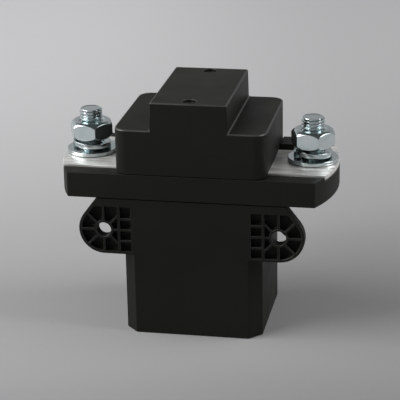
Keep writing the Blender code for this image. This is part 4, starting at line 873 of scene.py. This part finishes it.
@dataclass
class CoilSpring:
    """A wound compression spring between the two bodies it presses on."""

    node_name: str
    name: str
    mean_radius: float
    wire: float
    turns: float
    top_body: str
    bottom_body: str
    end_climb: float = 0.55
    steps_per_turn: int = 40
    wire_sides: int = 14

    def build(self) -> None:
        """Makes the spring in place of its node, round the shaft's axis."""
        low, high = levels(self.node_name)
        axis = upright_axis("plunger_shaft")
        piece = add_piece(self.wound(axis, low, high), SPRING_STEEL, [self.node_name], body=None)
        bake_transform(piece)

    def climb(self, turned: np.ndarray) -> np.ndarray:
        """Gives the share of the height at each turn: the first and last turn climb only the end climb's share."""
        slow = self.end_climb / self.turns
        return np.interp(turned, (0.0, 1.0, self.turns - 1.0, self.turns), (0.0, slow, 1.0 - slow, 1.0))

    def wound(self, axis: Pair, low: float, high: float) -> Mesh:
        """Makes the wire: a circle carried along the helix.

        With t the turns so far the centre is (R cos 2 pi t, R sin 2 pi t, z(t)) from the axis, and the circle
        lies in the plane of the radial direction and the helix's binormal.
        """
        turned = np.linspace(0.0, self.turns, round(self.turns * self.steps_per_turn) + 1)
        height = low + self.wire / 2 + (high - low - self.wire) * self.climb(turned)
        angle = FULL_TURN * turned
        centre = revolve(joined(self.mean_radius, height), angle, axis)
        radial = joined(np.cos(angle), np.sin(angle), 0.0)
        binormal = np.cross(unit(np.gradient(centre, axis=0)), radial)
        round_wire = whole_turn(self.wire_sides)[None, :, None]
        section = np.cos(round_wire) * radial[:, None] + np.sin(round_wire) * binormal[:, None]
        return skin(self.name, centre[:, None] + self.wire / 2 * section)


@dataclass
class Winding:
    """The coil: enamelled wire laid turn beside turn."""

    node_name: str = "coil_winding"
    wire: float = 0.0007
    rows_per_turn: int = 8
    columns: int = 72

    def build(self) -> None:
        """Makes the coil in place of its node."""
        add_piece(self.coil(), ENAMEL, [self.node_name], sharp_degrees=60.0)

    def coil(self) -> Mesh:
        """Makes the coil as a ring whose outer wall carries the wire's round turns.

        With p the share of a turn's height, from height / wire less angle / turn, the wall stands at
        R - r (1 - sqrt(1 - (2p - 1)^2)), where R is the coil's radius and r the wire's.
        """
        low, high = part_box(self.node_name)
        centre = upright_axis(self.node_name)
        corners = np.array([corner.co[:2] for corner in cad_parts[self.node_name].data.vertices])
        bore = float(np.hypot(*(corners - centre).T).min())
        outer = (high[0] - low[0]) / 2
        angles = whole_turn(self.columns)
        heights = np.arange(low[2] + self.wire / 2, high[2] - self.wire / 2, self.wire / self.rows_per_turn)
        share = (heights[:, None] / self.wire - angles[None, :] / FULL_TURN) % 1.0
        side = joined(outer - self.wire / 2 * (1 - np.sqrt(1 - (2 * share - 1) ** 2)), heights[:, None])
        bottom = same_all_round([(bore, low[2]), (outer - self.wire, low[2])], self.columns)
        top = same_all_round([(outer - self.wire, high[2]), (bore, high[2])], self.columns)
        return skin("wound_coil", revolve(np.concatenate([bottom, side, top]), angles, centre), wrap_rows=True)


@dataclass
class Inside:
    """The nodes that keep their CAD shape and get their finishes here."""

    def build(self) -> None:
        """Dresses each node by what it is made of."""
        corners = [f"{hand.value}_{end.value}" for hand in Hand for end in End]
        hands = [hand.value for hand in Hand]
        ends = [end.value for end in End]
        finishes: list[tuple[Finish, list[str]]] = [
            (IRON, ["yoke", "yoke_plate", "fixed_core", "plunger"]),
            (ZINC, [f"yoke_screw_{corner}" for corner in corners]),
            (BRASS, ["guide_sleeve"] + [f"threaded_insert_{end}" for end in ends]
             + [f"coil_pin_{hand}" for hand in hands]),
            (COPPER, ["contact_bridge"]),
            (SILVER, [f"{word}_contact_{hand}" for word in ("fixed", "moving") for hand in hands]),
            (SPRING_STEEL, ["plunger_shaft", "spring_seat", "spring_retainer", "shaft_clip"]),
            (NYLON, ["bobbin", "bridge_bush"]),
            (FERRITE, [f"blowout_magnet_{corner}" for corner in corners]),
            (RUBBER, ["base_pad", "deck_gasket"]),
        ]
        for finish, names in finishes:
            for name in names:
                dress_node(name, finish)


@dataclass
class Backdrop:
    """The pale floor, its tone graded with painted light and shade as the camera sees it.

    Depth runs along the floor away from the camera and across runs to its right, both from the model's origin.
    The tone is painted light and shade: it rises with depth from near to beside the contactor and on to far behind it,
    and falls to a share of itself to the right. In front of the frame and to the right of it the floor is paler,
    painted light for what the shiny faces mirror.
    """

    azimuth: float
    half: float = 4.0
    ticks: int = 9
    near_tone: float = 0.25
    beside_tone: float = 0.345
    far_tone: float = 0.77
    near_depth: Pair = (-0.12, -0.01)
    far_depth: Pair = (0.085, 0.60)
    right_painted_shade: float = 0.83
    right_across: Pair = (-0.10, 0.13)
    front_painted_light: float = 0.18
    front_depth: Pair = (-0.16, -0.10)
    side_painted_light: float = 0.14
    side_across: Pair = (0.15, 0.24)
    coolness: float = 1.01
    roughness: float = 0.85
    specular: float = 0.1

    def build(self) -> None:
        """Lays the floor: a flat grid at height zero."""
        ticks = np.linspace(-self.half, self.half, self.ticks)
        grid = joined(*np.meshgrid(ticks, ticks), 0.0)
        cells = grid_faces(self.ticks, self.ticks, False, False)
        mesh = bpy.data.meshes.new("floor")
        mesh.from_pydata(grid.reshape(-1, 3).tolist(), [], cells.tolist())
        mesh.materials.append(self.paper())
        add_object("floor", mesh)

    def paper(self) -> Material:
        """Makes the floor's paper, graded with painted light and shade."""
        paper, board, shader = blank_material("studio paper")
        board.feed(shader.inputs["Roughness"], self.roughness)
        board.feed(shader.inputs["Specular IOR Level"], self.specular)
        place = board.add("ShaderNodeTexCoord").outputs["Object"]
        parts = board.add("ShaderNodeSeparateXYZ", {0: board.turned(place, -self.azimuth)}).outputs
        across, depth = parts["X"], parts["Y"]
        # Painted light and shade: darker in front, lighter far behind, darker to the right, paler out of frame in
        # front and to the right.
        front = board.remap(depth, *self.near_depth, self.near_tone, self.beside_tone)
        back = board.remap(depth, *self.far_depth, 0.0, self.far_tone - self.beside_tone, "LINEAR")
        fall = board.remap(across, *self.right_across, 1.0, self.right_painted_shade)
        apart = board.math("MAXIMUM", board.remap(depth, *self.front_depth, self.front_painted_light, 0.0),
                           board.remap(across, *self.side_across, 0.0, self.side_painted_light))
        tone = board.math("ADD", board.math("MULTIPLY", board.math("ADD", front, back), fall), apart)
        blue = board.math("MULTIPLY", tone, self.coolness)
        colour = board.add("ShaderNodeCombineColor", {0: tone, 1: tone, 2: blue}).outputs[0]
        board.feed(shader.inputs["Base Color"], colour)
        return paper


@dataclass
class Studio:
    """Camera, backdrop, room light and two soft lamps."""

    azimuth: float = 11.202
    elevation: float = 20.218
    roll: float = -1.096
    distance: float = 0.72598
    lens: float = 149.526
    sensor: float = 36.0
    target: Triple = (-0.000415, -0.0030, 0.05372)
    room_light: float = 0.17
    wall_light: float = 0.36
    wall_top: Pair = (0.42, 0.80)
    ceiling_light: float = 0.06
    left_share: float = 2.0
    left_wall: Pair = (-0.85, -0.10)

    def build(self) -> None:
        """Makes the camera, the world, the floor and the lamps."""
        self.camera()
        self.world()
        Backdrop(self.azimuth).build()
        self.softbox("key_left", (-0.650, -0.263, 0.636), width=0.80, height=0.62, watts=10.7)
        self.softbox("fill_right", (0.682, 0.065, 0.604), width=0.52, height=0.585, watts=5.0)

    def camera(self) -> None:
        """Places the camera by its azimuth, elevation, roll and distance from the target."""
        turn, rise, lean = (math.radians(angle) for angle in (self.azimuth, self.elevation, self.roll))
        back = Vector((math.sin(turn) * math.cos(rise), -math.cos(turn) * math.cos(rise), math.sin(rise)))
        right = Vector((math.cos(turn), math.sin(turn), 0.0))
        up = back.cross(right)
        right_leaning = right * math.cos(lean) + up * math.sin(lean)
        up_leaning = up * math.cos(lean) - right * math.sin(lean)
        data = bpy.data.cameras.new("camera")
        data.lens, data.sensor_width = self.lens, self.sensor
        camera = add_object("camera", data)
        axes = Matrix((right_leaning, up_leaning, back)).transposed().to_4x4()
        camera.matrix_world = Matrix.Translation(Vector(self.target) + back * self.distance) @ axes
        bpy.context.scene.camera = camera

    def softbox(self, name: str, place: Triple, width: float, height: float, watts: float) -> None:
        """Hangs a soft lamp that faces the contactor."""
        data = bpy.data.lights.new(name, "AREA")
        data.shape, data.size, data.size_y, data.energy = "RECTANGLE", width, height, watts
        lamp = add_object(name, data)
        lamp.location = place
        towards = Vector(self.target) - Vector(place)
        lamp.rotation_euler = towards.to_track_quat("-Z", "Y").to_euler()

    def world(self) -> None:
        """Fills the room with an even dim light; shiny faces see pale walls, brighter left, and a dark ceiling.

        The walls change to the ceiling over a range of the ray's z, and from the left one over a range of its x.
        """
        world = bpy.data.worlds.new("studio")
        world.use_nodes = True
        bpy.context.scene.world = world
        board = Board(world.node_tree)
        board.tree.nodes.clear()
        path = board.add("ShaderNodeLightPath")
        seen = board.math("MAXIMUM", path.outputs["Is Camera Ray"], path.outputs["Is Glossy Ray"])
        way = board.add("ShaderNodeSeparateXYZ", {0: board.add("ShaderNodeTexCoord").outputs["Generated"]})
        by_height = board.remap(way.outputs["Z"], *self.wall_top, self.wall_light, self.ceiling_light)
        by_side = board.remap(way.outputs["X"], *self.left_wall, self.left_share, 1.0)
        mirrored = board.math("MULTIPLY", board.math("MULTIPLY", by_height, by_side), seen)
        strength = board.math("ADD", mirrored, board.remap(seen, 0.0, 1.0, self.room_light, 0.0))
        light = board.add("ShaderNodeBackground", {"Color": (0.97, 0.98, 1.0, 1.0), "Strength": strength})
        board.add("ShaderNodeOutputWorld", {"Surface": light.outputs[0]})


def main() -> None:
    """Builds the studio and each sub-assembly in order."""
    logging.basicConfig(level=logging.INFO, format="%(name)s: %(message)s")
    bpy.context.scene.view_settings.view_transform = "Standard"
    Studio().build()
    Casing().build()
    Terminal(Hand.LEFT, math.radians(-67.0), math.radians(-137.0)).build()
    Terminal(Hand.RIGHT, math.radians(-69.3), math.radians(-128.0)).build()
    for end in End:
        CoverScrew(end).build()
    CoilSpring("return_spring", "wound_return_spring", 0.0033, 0.0009, 7.0, "plunger", HOUSING_BODY).build()
    CoilSpring("contact_spring", "wound_contact_spring", 0.0044, 0.0013, 4.5, "plunger", "bridge").build()
    Winding().build()
    Inside().build()


if __name__ == "__main__":
    main()
